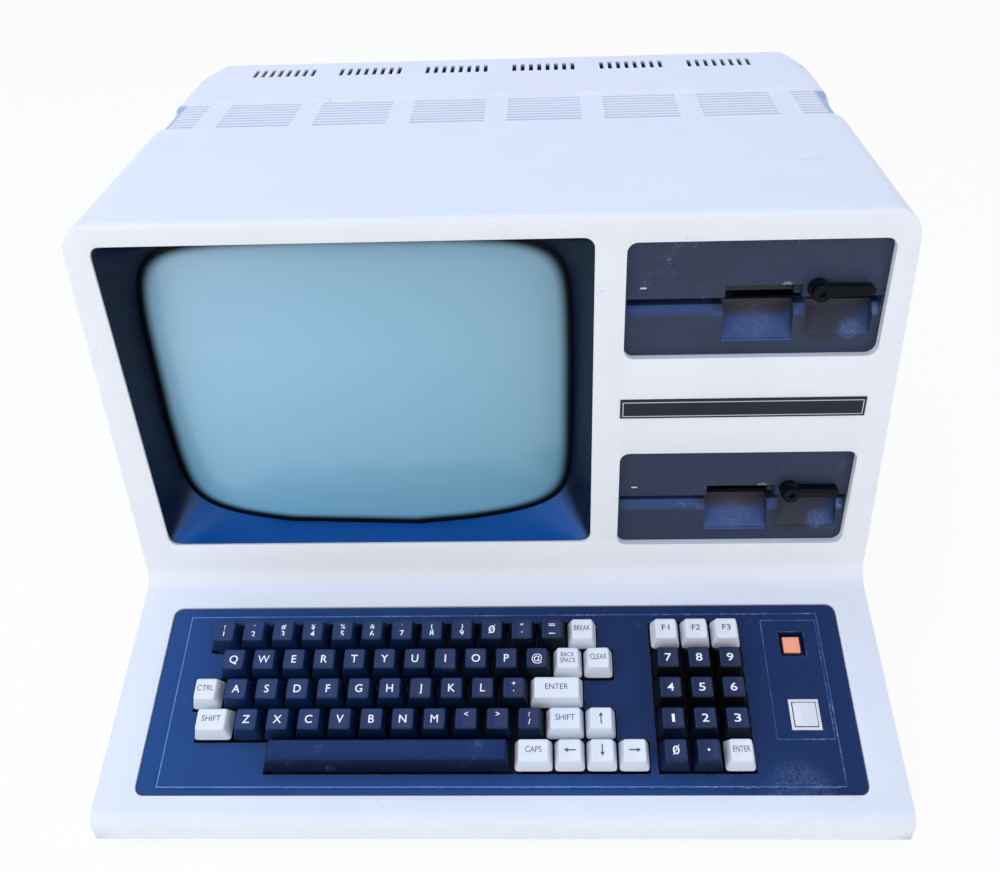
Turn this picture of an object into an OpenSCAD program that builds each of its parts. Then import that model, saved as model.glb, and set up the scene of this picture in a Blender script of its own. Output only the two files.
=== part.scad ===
// Desktop home computer of the early 1980s: a one-piece moulded cabinet with a
// sloping keyboard deck, a 12 inch picture tube on the left and two 5.25 inch
// disk drives on the right. X is to the right, Y to the rear, Z up, in
// millimetres; the origin is on the table under the middle of the cabinet.

/* [Cabinet] */
// Width over the side walls at the table
case_w = 479.4; // [460:0.2:500]
// Depth from the front lip to the rear wall
case_d = 546; // [530:1:560]
// Height from the table to the flat top
case_h = 317.5; // [310:0.5:325]
// Wall thickness of the moulded cabinet
wall = 5; // [4:0.1:6]
// Draft of the side walls, in degrees
side_draft = 1.4; // [0.8:0.1:2]
// Radius of the long shoulders between the top and the sides
shoulder_r = 17; // [12:1:20]
// Radius along the top edge of the face
brow_r = 3.5; // [2:0.5:6]
// Gap between the table and the lower rim of the cabinet
foot_h = 5.5; // [5:0.5:8]

/* [Deck and face] */
// Slope of the keyboard deck, in degrees
deck_tilt = 17.7; // [16:0.1:19]
// Height at which the deck surface would meet the front plane
lip_h = 24; // [23:0.5:26]
// Radius of the front lip
lip_r = 9; // [6:0.5:10]
// Backward lean of the face, in degrees
face_lean = 6; // [4:0.25:7]
// Distance from the front plane to the face, at the sill height
face_setback = 151.6; // [150:0.2:156]
// Height of the sill, the level of the lower edge of the screen opening
sill_z = 100; // [97:0.5:103]
// Radius of the hollow between the deck and the face
cove_r = 16; // [10:1:20]

/* [Rear] */
// Depth from the front plane to the louvred band across the top
band_start = 321; // [316:1:326]
// Depth of the louvred band, front to rear
band_d = 56; // [52:1:60]
// How far the band lies below the top
band_recess = 2.6; // [1.5:0.1:3]
// Louvre grooves in the band
band_grooves = 10; // [8:1:11]
// Width of one groove
groove_w = 2.2; // [1.6:0.1:2.6]
// Depth of one groove
groove_depth = 1.8; // [1:0.1:2.4]
// Distance between the louvre pads, centre to centre
pad_pitch = 65; // [63:0.5:66]
// Width of one louvre pad
pad_w = 49.5; // [46:0.5:54]
// Depth from the front plane to the rear edge of the flat top
hood_back = 464; // [458:1:470]
// Height at which the sloping hood meets the rear wall
hood_foot_z = 228; // [220:1:240]
// Slots in one vent group on the hood
vent_slots = 8; // [6:1:8]
// Width of one vent slot
vent_w = 3; // [2.5:0.1:3.6]
// Length of one vent slot
vent_len = 17; // [14:1:24]

/* [Screen] */
// Width of the screen opening
screen_w = 277; // [272:0.5:280]
// Distance from the cabinet's left side to the screen opening
screen_margin = 21.7; // [19:0.1:23]
// Distance from the flat top down to the screen opening, along the face
screen_drop = 13; // [12:0.1:16]
// Depth of the funnel-shaped bezel
bezel_depth = 20; // [16:0.5:26]
// Width of the picture tube's face
tube_w = 250; // [244:0.5:254]
// Gap above and below the picture tube's face, in the opening
tube_gap_h = 5.6; // [4:0.1:8]
// Length of the picture tube
tube_len = 282; // [270:1:290]
// Spherical radius of the picture tube's face
tube_r = 620; // [560:5:700]
// Diameter of the tube's neck
neck_d = 29; // [28:0.5:32]

/* [Disk drives] */
// Width of a drive opening
drive_w = 144.5; // [142:0.5:146]
// Height of a drive opening
drive_h = 70; // [68:0.5:74]
// Distance from the cabinet's right side to the drive openings
drive_margin = 18.95; // [18:0.05:21]
// Distance from the flat top down to the upper drive's middle, along the face
drive_drop = 51.2; // [50:0.1:54]
// Height of the lower drive's middle above the sill
drive_lower = 33; // [31:0.5:36]
// Width of a drive's frame
frame_w = 146; // [145:0.5:148]
// Height of a drive's frame
frame_h = 82.6; // [80:0.2:84]
// Length of a drive's frame
frame_len = 188; // [184:1:196]
// Height of the disk slot
slot_h = 5.4; // [5:0.1:6]
// Level of the disk slot's middle below the drive's middle
slot_drop = 2.7; // [2:0.1:3.5]
// Width of the finger notch
notch_w = 39.5; // [36:0.5:42]
// Length of the lever arm from its pivot
lever_len = 30; // [26:0.5:32]
// Diameter of the lever's pivot
lever_pin_d = 6; // [5:0.1:7]

/* [Keyboard] */
// Distance between key centres
key_pitch = 19.05; // [19:0.01:19.1]
// Width of the dark keyboard surround
kb_w = 432; // [430:0.5:440]
// Depth of the keyboard surround along the deck
kb_d = 119.6; // [118:0.2:122]
// Distance along the deck from the front plane to the middle key row
kb_s = 75; // [74:0.5:76]
// Thickness of the keyboard surround
kb_t = 3; // [2.5:0.1:3.5]
// Gap between the keys and the edge of their opening
key_gap = 1; // [0.8:0.1:1.2]
// Height of a key cap
cap_h = 10; // [9:0.2:11]
// Height of the key tops above the deck
key_top = 12.3; // [11.5:0.1:13]
// Key travel
key_travel = 3.8; // [3:0.1:4]

/* [Fits] */
// Clearance around pieces set into the cabinet
fit = 0.5; // [0.3:0.05:0.7]
// Radial clearance of a shaft in its hole
shaft_fit = 0.05; // [0.03:0.01:0.08]

/* [Hidden] */
$fn = 48;
big = 700;
// Cabinet outline, seen from the right: y to the rear, z up
base_z = foot_h;
front_y = -case_d / 2;
rear_y = case_d / 2;
face_y = front_y + face_setback;
face_top_y = face_y + (case_h - sill_z) * tan(face_lean);
deck_rise = tan(deck_tilt);
face_rise = 1 / tan(face_lean);
cove_y = (sill_z - face_y * face_rise - lip_h + front_y * deck_rise) / (deck_rise - face_rise);
cove_z = lip_h + (cove_y - front_y) * deck_rise;
hood_back_y = front_y + hood_back;
band_y0 = front_y + band_start;
band_y1 = band_y0 + band_d;
band_foot_z = case_h - 32;
vent_y0 = band_y1 + 51.5;
hood_edge_r = 14;
rear_edge_r = 22;
// The hood's two rear corners are planed off, turning and tilting outwards
hip_y = front_y + 398;
hip_turn = 18;
hip_tilt = 34;
side_pts = [[front_y, base_z], [rear_y, base_z], [rear_y, hood_foot_z], [hood_back_y, case_h],
            [face_top_y, case_h], [cove_y, cove_z], [front_y, lip_h]];
side_r = [0, 0, rear_edge_r, hood_edge_r, brow_r, cove_r, lip_r];
cove_index = 5;
// Screen and tube, on the face: x right, y up the face, z out of it
face_len = (case_h - sill_z) / cos(face_lean);
opening_r = 6;
screen_foot = 0.7;
screen_h = face_len - screen_drop - screen_foot;
screen_y = screen_h / 2 + screen_foot;
screen_x = case_w / 2 - screen_margin - screen_w / 2;
tube_h = screen_h - 2 * tube_gap_h;
lip_w = tube_w + 4;
lip_gap_h = tube_h + 4;
bezel_t = 2.2;
bezel_front = 1.5;
flange_w = 6;
tube_apex = 14;
rim_depth = 40;
funnel_depth = 150;
ear_x = screen_w / 2 + 6;
ear_y = screen_h / 2 - 18;
ear_depth = bezel_depth + 6;
ear_t = 1.5;
tube_outline_n = 6.5;
// Disk drives, on the face
drive_x = case_w / 2 - drive_margin - drive_w / 2;
drive_upper = face_len - drive_drop;
seat_gap = 0.02;
drive_front = wall + seat_gap;
bezel_w = frame_w + 3;
bezel_h = frame_h + 2.4;
drive_bezel_t = 15;
slot_w = frame_w - 4;
slot_top = slot_h / 2 - slot_drop;
slot_bot = slot_top - slot_h;
slot_lip = 5.6;
notch_x = 3.3;
notch_top = slot_top + 7.3;
notch_bot = slot_bot - 20.8;
notch_depth = 11;
notch_extra = 3.5;
notch_lip = 1;
light_x = -62;
light_y = 6.2;
light_w = 4.6;
light_h = 2;
light_depth = 1.6;
pivot_x = 34.7;
pivot_y = 5.2;
hub_r = 5;
hub_out = 4.4;
hub_hole = 2;
hub_foot_r = 6;
arm_w = 6.6;
arm_out = 1.6;
arm_tip_r = 2.6;
grip_x0 = pivot_x - 4.7;
grip_w = 37;
grip_bot = slot_bot - 18.6;
frame_front = drive_front + drive_bezel_t;
drive_rear = frame_front + frame_len;
rail_t = 3;
rail_top = 18;
plate_y = slot_bot - 10.6;
plate_t = 4;
spindle_depth = frame_front + 82;
spindle_r = 4;
disk_hub_r = 18;
pulley_r = 30;
rod_x = 20;
rod_r = 2.5;
arm_pivot_depth = frame_front + 170;
arm_pivot_y = 10;
carriage_travel = 20.6;
carriage_tip = spindle_depth + disk_hub_r + carriage_travel + 1.4;
bracket_t = 1.5;
// Keyboard: places in key pitches from the 1 key, rows from the back
kb_x = -176.3;
pad_col = 14.76;
well_x = 185.2;
well_s = 32.8;
well_w = 16;
button_w = 10.6;
badge_x = 186;
badge_s = -12.8;
badge_w = 18;
badge_h = 18.8;
kb_recess = 1;
// The surround's inner part stands a step above its edge
plateau_w = 408;
plateau_d = 110;
plateau_y = -1;
plateau_r = 6;
plateau_top = 0;
well_wall = 1.5;
well_depth = 8;
button_sink = 1.6;
button_h = 3;
button_stem = 11;
badge_sink = 0.8;
badge_rise = 0.4;
badge_frame = 2.2;
badge_swell = 0.5;
ledge = 4;
cap_gap = 1.2;
cap_side = 2.6;
cap_front = 3.5;
cap_back = 1.7;
cap_wall = 1.4;
dish_r = 24;
dish_depth = 0.7;
stem_w = 4.6;
switch_w = 14;
switch_top = 5.5;
switch_h = 10;
stem_reach = 5;
board_t = 1.6;
wide_u = 1.25;
enter_u = 1.75;
space_u = 7.8;
space_col = 5.79;
space_stem = 50;
// Row number, first column and number of the dark keys of each row
number_row = [0, 0, 12];
upper_row = [1, 0.5, 11];
home_row = [2, 0.75, 10];
lower_row = [3, 1.25, 10];
// Edges of the opening round each row, in key pitches from the 1 key
row_edges = [[-0.5, 12.5], [0, 13], [-0.75, 12], [-0.5, 13], [space_col - space_u / 2, 14]];
// Base and small parts
base_t = 3;
rim_t = 2.5;
rim_h = 9;
foot_r = 11;
foot_x = case_w / 2 - 49.7;
foot_front_y = front_y + 68;
foot_rear_y = rear_y - 38;
screw_r = 2;
screw_head_r = 4;
tube_screw_head_r = 3.3;
tube_screw_len = 15;
boss_r = 5;
boss_len = 48;
screw_len = 24;
screw_inset = wall + boss_r - 0.8;
screw_x = [screw_inset - case_w / 2, case_w / 2 - screw_inset];
screw_y = [-215, -120, 0, 120, 245];
pocket_x = case_w / 2 - 49.7;
pocket_y = front_y + 38;
pocket_w = 50;
pocket_d = 32;
pocket_h = 13.5;
knob_r = 8;
knob_w = 7;
knob_x = pocket_w / 4;
web_t = 5;
knob_up = 10.5;
rocker_up = 8;
axle_r = 1.5;
rocker_w = 13;
rocker_len = 20;
inlet_x = 59.7 - case_w / 2;
inlet_z = 42;
inlet_r = 8;
inlet_head_r = 12;
sheet_t = 1.5;
pillar_r = 3;
supply_x = 114.7 - case_w / 2;
supply_y = 40;
supply_w = 160;
supply_d = 110;
supply_h = 34;
main_board_y = rear_y - 46;
main_board_w = case_w - 119.4;
disk_board_y = rear_y - 66;
bracket_y = rear_y - 34;
bracket_w = main_board_w + 12;
bracket_h = 200;
bracket_foot = 26;
strip_w = 144;
strip_h = 12.4;
strip_t = 1.4;
strip_x = 147.6;
strip_y = 99.6;

white = "#E9EDF2";
navy = "#22396B";
dark = "#1B2233";
key_white = "#E6E9EC";
orange = "#F08050";
glass = "#8FB5CC";
steel = "#B9BEC4";
alloy = "#A7ABB0";
board = "#2F6B45";
copper = "#B5713B";
black = "#1A1B1E";

WHITE_KEYS = ["break_key", "backspace_key", "clear_key", "control_key", "enter_key",
              "shift_key_left", "shift_key_right", "up_key", "caps_key", "left_key", "down_key",
              "right_key", "f1_key", "f2_key", "f3_key", "pad_enter_key"];
// Column, row and width in pitches of each white key, in the order of WHITE_KEYS
WHITE_PLACES = [[12, 0, 1], [11.5, 1, 1], [12.5, 1, 1], [-0.25, 2, 1], [11.125, 2, enter_u],
                [0.125, 3, wide_u], [11.375, 3, wide_u], [12.5, 3, 1], [10.375, 4, wide_u],
                [11.5, 4, 1], [12.5, 4, 1], [13.5, 4, 1], [pad_col, 0, 1], [pad_col + 1, 0, 1],
                [pad_col + 2, 0, 1], [pad_col + 2, 4, 1]];

// ---------- outlines ----------

function unit(v) = v / norm(v);

// Arc that rounds the corner p between a and b
function corner(p, a, b, r, n) = r < 0.01 ? [p] :
    let (u = unit(a - p), v = unit(b - p))
    let (half = acos(u * v) / 2, c = p + unit(u + v) * r / sin(half))
    let (s = p + u * r / tan(half) - c, e = p + v * r / tan(half) - c)
    let (a0 = atan2(s[1], s[0]), turn = (atan2(e[1], e[0]) - a0 + 540) % 360 - 180)
    [for (i = [0:n]) c + r * [cos(a0 + turn * i / n), sin(a0 + turn * i / n)]];

function rounded(pts, radii, n = 6) = let (m = len(pts))
    [for (i = [0:m - 1]) each corner(pts[i], pts[(i + m - 1) % m], pts[(i + 1) % m], radii[i], n)];

function inward(a, b) = let (u = unit(b - a)) [-u[1], u[0]];

// Outline moved inwards by d; its points run anticlockwise
function inset(pts, d) = let (m = len(pts)) [for (i = [0:m - 1])
    let (n1 = inward(pts[(i + m - 1) % m], pts[i]), n2 = inward(pts[i], pts[(i + 1) % m]))
    pts[i] + (n1 + n2) * d / (1 + n1 * n2)];

// An inner outline runs out through the lower rim, so the shell is open below
function open_below(pts, d) = d == 0 ? pts :
    [for (i = [0:len(pts) - 1]) i < 2 ? [pts[i][0], base_z - 1] : pts[i]];

function side_loop(d) = rounded(open_below(inset(side_pts, d), d),
    [for (i = [0:len(side_r) - 1]) i == cove_index ? side_r[i] + d : max(side_r[i] - d, 0)]);

function half_w(z) = case_w / 2 - (z - base_z) * tan(side_draft);

function front_loop(d) = rounded(open_below(inset([[-half_w(base_z), base_z],
    [half_w(base_z), base_z], [half_w(case_h), case_h], [-half_w(case_h), case_h]], d), d),
    [0, 0, max(shoulder_r - d, 1), max(shoulder_r - d, 1)]);

// Picture tube outline: a rectangle with bowed sides and round corners
function tube_loop(w, h, n = 64) = [for (i = [0:n - 1]) let (c = cos(360 * i / n), s = sin(360 * i / n))
    [w / 2 * sign(c) * pow(abs(c), 2 / tube_outline_n), h / 2 * sign(s) * pow(abs(s), 2 / tube_outline_n)]];

function rect_pts(w, h) = [[-w / 2, -h / 2], [w / 2, -h / 2], [w / 2, h / 2], [-w / 2, h / 2]];

// y and z of a point behind the face, at a height above the sill along the face
function behind_face(depth, height) = [face_y + height * sin(face_lean) + depth * cos(face_lean),
                                       sill_z + height * cos(face_lean) - depth * sin(face_lean)];

// ---------- frames of reference and small shapes ----------

module along_x(len) rotate([90, 0, 90]) linear_extrude(len, center = true) children();

module along_y(len) rotate([90, 0, 0]) linear_extrude(len, center = true) children();

// x right, y up the face, z out of it, from the sill level in the middle
module on_face() translate([0, face_y, sill_z]) rotate([90 - face_lean, 0, 0]) children();

// x right, y up the deck, z out of it, from the front plane
module on_deck() translate([0, front_y, lip_h]) rotate([deck_tilt, 0, 0]) children();

module at_screen() on_face() translate([-screen_x, screen_y, 0]) children();

module at_drive(level) on_face() translate([drive_x, level, 0]) children();

module on_keyboard() on_deck() translate([0, kb_s, 0]) children();

module at_key(col, row) on_keyboard() translate([kb_x + col * key_pitch, (2 - row) * key_pitch, 0]) children();

module block(w, h, z0, z1) translate([0, 0, z0]) linear_extrude(z1 - z0) square([w, h], center = true);

module round_block(w, h, r, z0, z1)
    translate([0, 0, z0]) linear_extrude(z1 - z0) polygon(rounded(rect_pts(w, h), [r, r, r, r]));

// Cut along x whose outline gives depth behind the face, and height
module cut_along_x(x0, w, pts) translate([x0 + w / 2, 0, 0]) rotate([0, -90, 0])
    linear_extrude(w, center = true) polygon([for (p = pts) [-p[0], p[1]]]);

// ---------- cabinet ----------

module hip(d) translate([half_w(case_h), hip_y, case_h]) rotate([0, 0, hip_turn]) rotate([0, -hip_tilt, 0])
    translate([-d, -big / 2, -big / 2]) cube(big);

module cabinet_form(d) difference() {
    intersection() {
        along_x(case_w) polygon(side_loop(d));
        along_y(case_d) polygon(front_loop(d));
    }
    hip(d);
    mirror([1, 0, 0]) hip(d);
}

// Everything further out than d below the top and sides, for y in a range
module outside_form(d, y0, y1, z0) translate([0, (y0 + y1) / 2, 0]) along_y(y1 - y0) difference() {
    translate([-case_w / 2 - 1, z0]) square([case_w + 2, case_h - z0 + 1]);
    polygon(front_loop(d));
}

module cavity() difference() {
    cabinet_form(wall);
    // The wall is doubled under the louvred band
    outside_form(wall + band_recess, band_y0 - 6, band_y1 + 6, band_foot_z - 6);
}

module louvre_grooves() {
    pitch = band_d / (band_grooves + 0.6);
    for (k = [0:band_grooves - 1]) {
        y = band_y0 + pitch * (k + 0.8);
        outside_form(band_recess + groove_depth, y - groove_w / 2, y + groove_w / 2, band_foot_z + 7);
    }
}

module louvre_pads() {
    for (i = [-2.5:2.5])
        translate([i * pad_pitch - pad_w / 2, band_y0, case_h - shoulder_r]) cube([pad_w, band_d, big]);
    wrap_x = 2.5 * pad_pitch + pad_w / 2 + (pad_pitch - pad_w);
    for (s = [0, 1])
        mirror([s, 0, 0]) translate([wrap_x, band_y0, band_foot_z]) cube([case_w, band_d, big]);
}

module vent_groups() {
    pitch = (pad_w - 3 - vent_w) / (vent_slots - 1);
    for (i = [-2.5:2.5], k = [0:vent_slots - 1])
        translate([i * pad_pitch + (k - (vent_slots - 1) / 2) * pitch - vent_w / 2, vent_y0, case_h - 2 * wall])
            cube([vent_w, vent_len, 3 * wall]);
}

module rear_vents() for (s = [-1, 1], k = [0:11])
    translate([s * 95 + (k - 5.5) * 9 - 2, rear_y - 2 * wall, 110]) cube([4, 3 * wall, 60]);

module screw_places() for (x = screw_x, y = screw_y) translate([x, y, 0]) children();

module tube_screw_places() at_screen() for (x = [-ear_x, ear_x], y = [-ear_y, ear_y]) translate([x, y, 0]) children();

module cabinet_fixings() intersection() {
    union() {
        screw_places() translate([0, 0, base_z + base_t]) cylinder(h = boss_len, r = boss_r);
        tube_screw_places() translate([0, 0, -ear_depth]) cylinder(h = ear_depth - 1, r = boss_r);
        // Frame under the deck that carries the keyboard surround
        on_keyboard() block(kb_w + 2 * ledge, kb_d + 2 * ledge, -wall - 3, -wall + 1);
        // Ribs across the top, ahead of the louvres
        for (y = [band_y0 - 60, band_y0 - 25])
            translate([-case_w / 2, y, case_h - 16]) cube([case_w, 2.5, 16]);
    }
    cabinet_form(1);
}

module top_case() color(white) difference() {
    union() {
        difference() {
            cabinet_form(0);
            cavity();
        }
        cabinet_fixings();
    }
    outside_form(band_recess, band_y0, band_y1, band_foot_z);
    intersection() {
        louvre_grooves();
        louvre_pads();
    }
    vent_groups();
    rear_vents();
    at_screen() round_block(screen_w, screen_h, opening_r, -wall - 4, 4);
    for (level = [drive_upper, drive_lower])
        at_drive(level) round_block(drive_w, drive_h, opening_r, -wall - 4, 4);
    on_face() translate([strip_x, strip_y, 0]) block(strip_w + fit, strip_h + fit, -0.8, 3);
    on_keyboard() {
        round_block(kb_w + 2 * fit, kb_d + 2 * fit, opening_r, -kb_recess - kb_t, 4);
        block(kb_w - 2 * ledge, kb_d - 2 * ledge, -3 * wall, 0);
    }
    screw_places() translate([0, 0, base_z]) cylinder(h = screw_len + 2, r = screw_r + shaft_fit);
    tube_screw_places() translate([0, 0, -ear_depth - 1]) cylinder(h = 14, r = screw_r + shaft_fit);
    translate([inlet_x, rear_y - 2 * wall, inlet_z]) rotate([-90, 0, 0]) {
        cylinder(h = 3 * wall, r = inlet_r + shaft_fit);
        translate([0, 0, 2 * wall - 2]) cylinder(h = wall, r = inlet_head_r + fit);
    }
}

module control_pocket(side) translate([side * pocket_x, pocket_y, base_z]) children();

module base_pan() color(white) difference() {
    w = case_w - 2 * wall - 2 * fit - 1;
    d = case_d - 2 * wall - 2 * fit;
    union() {
        translate([0, 0, base_z]) block(w, d, 0, base_t);
        translate([0, 0, base_z + base_t]) difference() {
            block(w, d, 0, rim_h);
            block(w - 2 * rim_t, d - 2 * rim_t, -1, rim_h + 1);
            // Gaps in the rim for the screw bosses of the top case
            screw_places() translate([0, 0, -1]) cylinder(h = rim_h + 2, r = boss_r + fit);
        }
        // Stiffening ribs
        for (x = [-120, 0, 120]) translate([x - 1, front_y + 133, base_z + base_t]) cube([2, case_d - 201, 4]);
        for (s = [-1, 1]) control_pocket(s) block(pocket_w, pocket_d, 0, pocket_h);
    }
    screw_places() {
        translate([0, 0, base_z - 1]) cylinder(h = base_t + 2, r = screw_r + shaft_fit);
    }
    // Foot sockets
    for (x = [-foot_x, foot_x], y = [foot_front_y, foot_rear_y])
        translate([x, y, base_z - 1]) cylinder(h = 2, r = foot_r + fit / 2);
    // Air slots under the boards
    for (k = [-7:7], y = [-60, 60])
        translate([k * 14 - 2.5 - 60, y, base_z - 1]) cube([5, 60, base_t + 2]);
    // Hollows of the two control pockets, open below; a web parts the two wheels
    control_pocket(1) block(pocket_w - web_t, pocket_d - 4, -1, pocket_h - 2);
    for (x = [-knob_x, knob_x]) control_pocket(-1) translate([x, 0, 0])
        block(pocket_w / 2 - web_t, pocket_d - 4, -1, pocket_h - 2);
    // Slots for the two wheels and for the rocker, and their axle holes
    control_pocket(-1) {
        for (x = [-knob_x, knob_x]) translate([x, 0, 0])
            block(knob_w + 1, 2 * knob_r + 1, pocket_h - 3, pocket_h + 9);
        translate([-pocket_w / 2 - 1, 0, knob_up]) rotate([0, 90, 0])
            cylinder(h = pocket_w + 2, r = axle_r + shaft_fit);
    }
    control_pocket(1) {
        translate([0, 0, pocket_h - 3]) cylinder(h = 4, r = 3);
        translate([-pocket_w / 2 - 1, 0, rocker_up]) rotate([0, 90, 0])
            cylinder(h = pocket_w + 2, r = axle_r + shaft_fit);
    }
}

module rubber_feet() color(black)
    for (x = [-foot_x, foot_x], y = [foot_front_y, foot_rear_y])
        translate([x, y, 0]) cylinder(h = base_z + 1, r = foot_r);

module case_screws() color(steel) {
    screw_places() translate([0, 0, base_z - 3]) {
        cylinder(h = 3, r = screw_head_r);
        cylinder(h = screw_len, r = screw_r);
    }
    tube_screw_places() translate([0, 0, -ear_depth - ear_t - 3]) {
        cylinder(h = 3, r = tube_screw_head_r);
        cylinder(h = tube_screw_len, r = screw_r);
    }
}

// ---------- screen ----------

module screen_bezel() color(navy) at_screen() difference() {
    union() {
        hull() {
            round_block(screen_w - 2 * fit, screen_h - 2 * fit, opening_r, -bezel_front - 1, -bezel_front);
            translate([0, 0, -bezel_depth - 2]) linear_extrude(2)
                polygon(tube_loop(lip_w + 2 * bezel_t, lip_gap_h + 2 * bezel_t));
        }
        round_block(screen_w + 2 * flange_w, screen_h + flange_w, opening_r, -drive_front - 3, -drive_front);
    }
    hull() {
        round_block(screen_w - 2 * bezel_t, screen_h - 2 * bezel_t, opening_r - 1, -bezel_front, 1 - bezel_front);
        translate([0, 0, -bezel_depth - 3]) linear_extrude(2) polygon(tube_loop(lip_w, lip_gap_h));
    }
    // The flange leaves room for the bosses of the tube
    for (x = [-ear_x, ear_x], y = [-ear_y, ear_y])
        translate([x, y, -drive_front - 4]) cylinder(h = 5, r = boss_r + fit);
}

module crt_tube() color(glass) at_screen() {
    // Face panel, its front part of a large sphere
    intersection() {
        translate([0, 0, -rim_depth]) linear_extrude(rim_depth) polygon(tube_loop(tube_w, tube_h));
        translate([0, 0, -tube_apex - tube_r]) sphere(r = tube_r, $fn = 96);
    }
    hull() {
        translate([0, 0, -rim_depth - 1]) linear_extrude(1) polygon(tube_loop(tube_w, tube_h));
        translate([0, 0, -rim_depth - 40]) linear_extrude(1) polygon(tube_loop(tube_w * 0.8, tube_h * 0.8, 32));
        translate([0, 0, -funnel_depth]) cylinder(h = 1, d = neck_d, $fn = 32);
    }
    translate([0, 0, -tube_apex - tube_len]) cylinder(h = tube_len + tube_apex - funnel_depth, d = neck_d);
}

module crt_band() color(steel) at_screen() difference() {
    union() {
        translate([0, 0, -rim_depth + 1]) linear_extrude(12) polygon(tube_loop(tube_w + 4, tube_h + 4));
        // Four ears that screw to the cabinet
        for (sx = [-1, 1], sy = [-1, 1])
            translate([sx * (ear_x - 14), sy * ear_y, -ear_depth - ear_t]) block(34, 14, 0, ear_t);
    }
    translate([0, 0, -rim_depth]) linear_extrude(14) polygon(tube_loop(tube_w + 0.4, tube_h + 0.4));
    for (x = [-ear_x, ear_x], y = [-ear_y, ear_y])
        translate([x, y, -ear_depth - 3]) cylinder(h = 5, r = screw_r + shaft_fit);
}

module deflection_yoke() color(copper) at_screen() translate([0, 0, -funnel_depth - 2]) difference() {
    rotate_extrude() polygon([[neck_d / 2 + 0.4, -34], [30, -34], [30, -28], [24, -26], [26, -10],
                              [46, 8], [46, 12], [40, 14], [neck_d / 2 + 10, 4], [neck_d / 2 + 0.4, -2]]);
    translate([0, 0, -40]) cylinder(h = 10, d = neck_d + 0.8);
}

// Circuit board lying in x and y, with rows of chips on top
module circuit_board(w, d, rows, cols) {
    block(w, d, 0, board_t);
    for (i = [0:cols - 1], j = [0:rows - 1])
        translate([(i - (cols - 1) / 2) * w / (cols + 0.4), (j - (rows - 1) / 2) * d / (rows + 0.4), 0])
            block(w / cols * 0.36, d / rows * 0.6, board_t, board_t + 4);
}

module video_boards() color(board) {
    // Socket board on the end of the neck
    at_screen() translate([0, 0, -tube_apex - tube_len]) {
        difference() {
            block(60, 60, -6, -6 + board_t);
            cylinder(h = 20, r = 5, center = true);
        }
        difference() {
            translate([0, 0, -6 + board_t]) cylinder(h = 12, r = neck_d / 2 + 4);
            translate([0, 0, -2.4]) cylinder(h = 20, r = neck_d / 2 + 0.3);
            cylinder(h = 20, r = 5, center = true);
        }
    }
    // Deflection board standing at the left of the tube
    translate([-case_w / 2 + 24, 60, 140]) rotate([90, 0, 90]) {
        circuit_board(150, 110, 3, 4);
        translate([40, 20, board_t]) cylinder(h = 24, r = 14);
    }
    // Its pillars, cut off at the side wall
    intersection() {
        for (y = [-5, 125], z = [95, 185]) translate([-case_w / 2, y, z]) rotate([0, 90, 0]) cylinder(h = 24, r = 3);
        cabinet_form(wall);
    }
}

// ---------- keyboard ----------

module row_openings(gap) {
    for (r = [0:len(row_edges) - 1]) {
        x0 = kb_x + row_edges[r][0] * key_pitch - gap;
        x1 = kb_x + row_edges[r][1] * key_pitch + gap;
        translate([x0, (1.5 - r) * key_pitch - gap, -wall - 1]) cube([x1 - x0, key_pitch + 2 * gap, 2 * wall]);
    }
    pad_x = kb_x + (pad_col - 0.5) * key_pitch - gap;
    translate([pad_x, -2.5 * key_pitch - gap, -wall - 1])
        cube([3 * key_pitch + 2 * gap, 5 * key_pitch + 2 * gap, 2 * wall]);
}

module keyboard_bezel() color(navy) on_keyboard() difference() {
    union() {
        round_block(kb_w, kb_d, opening_r - fit, -kb_recess - kb_t, -kb_recess);
        translate([0, plateau_y, 0]) round_block(plateau_w, plateau_d, plateau_r, -kb_recess - 1, plateau_top);
        // Well of the reset button
        translate([well_x, well_s, 0])
            block(well_w + 2 * well_wall, well_w + 2 * well_wall, -well_depth - well_wall, -kb_recess - 1);
    }
    row_openings(key_gap - cap_gap / 2);
    translate([well_x, well_s, 0]) {
        block(well_w, well_w, -well_depth, 1);
        block(button_w / 2, button_w / 2, -well_depth - 2 * well_wall, 1);
    }
    translate([badge_x, badge_s, 0]) block(badge_w + fit, badge_h + fit, plateau_top - badge_sink, 1);
}

module name_strip() color(black) on_face() translate([strip_x, strip_y, 0])
    block(strip_w, strip_h, -0.8, strip_t - 0.8);

// Square frame with a raised tile in it
module badge_tile() color(key_white) on_keyboard() translate([badge_x, badge_s, plateau_top]) {
    block(badge_w, badge_h, -badge_sink, badge_rise);
    round_block(badge_w - 2 * badge_frame, badge_h - 2 * badge_frame, 1, 0, badge_rise + badge_swell);
}

module key_stem(len) block(stem_w, stem_w, -len, 0);

// Key cap over w pitches, with its stem; z = 0 is the level of the deck
module key_cap(w, dished = true) {
    half = w * key_pitch / 2 - cap_gap / 2;
    foot = key_pitch / 2 - cap_gap / 2;
    cap_z = key_top - cap_h;
    translate([0, 0, cap_z]) {
        difference() {
            cap_form(half, foot, cap_h, 0);
            cap_form(half - cap_wall, foot - cap_wall, cap_h - cap_wall, 1);
            if (dished) translate([0, 0, cap_h + dish_r - dish_depth]) along_y(3 * key_pitch) circle(r = dish_r);
        }
        translate([0, 0, cap_h - cap_wall + 0.3])
            key_stem(cap_h - cap_wall + 0.3 + cap_z + switch_top + stem_reach);
    }
}

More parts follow.
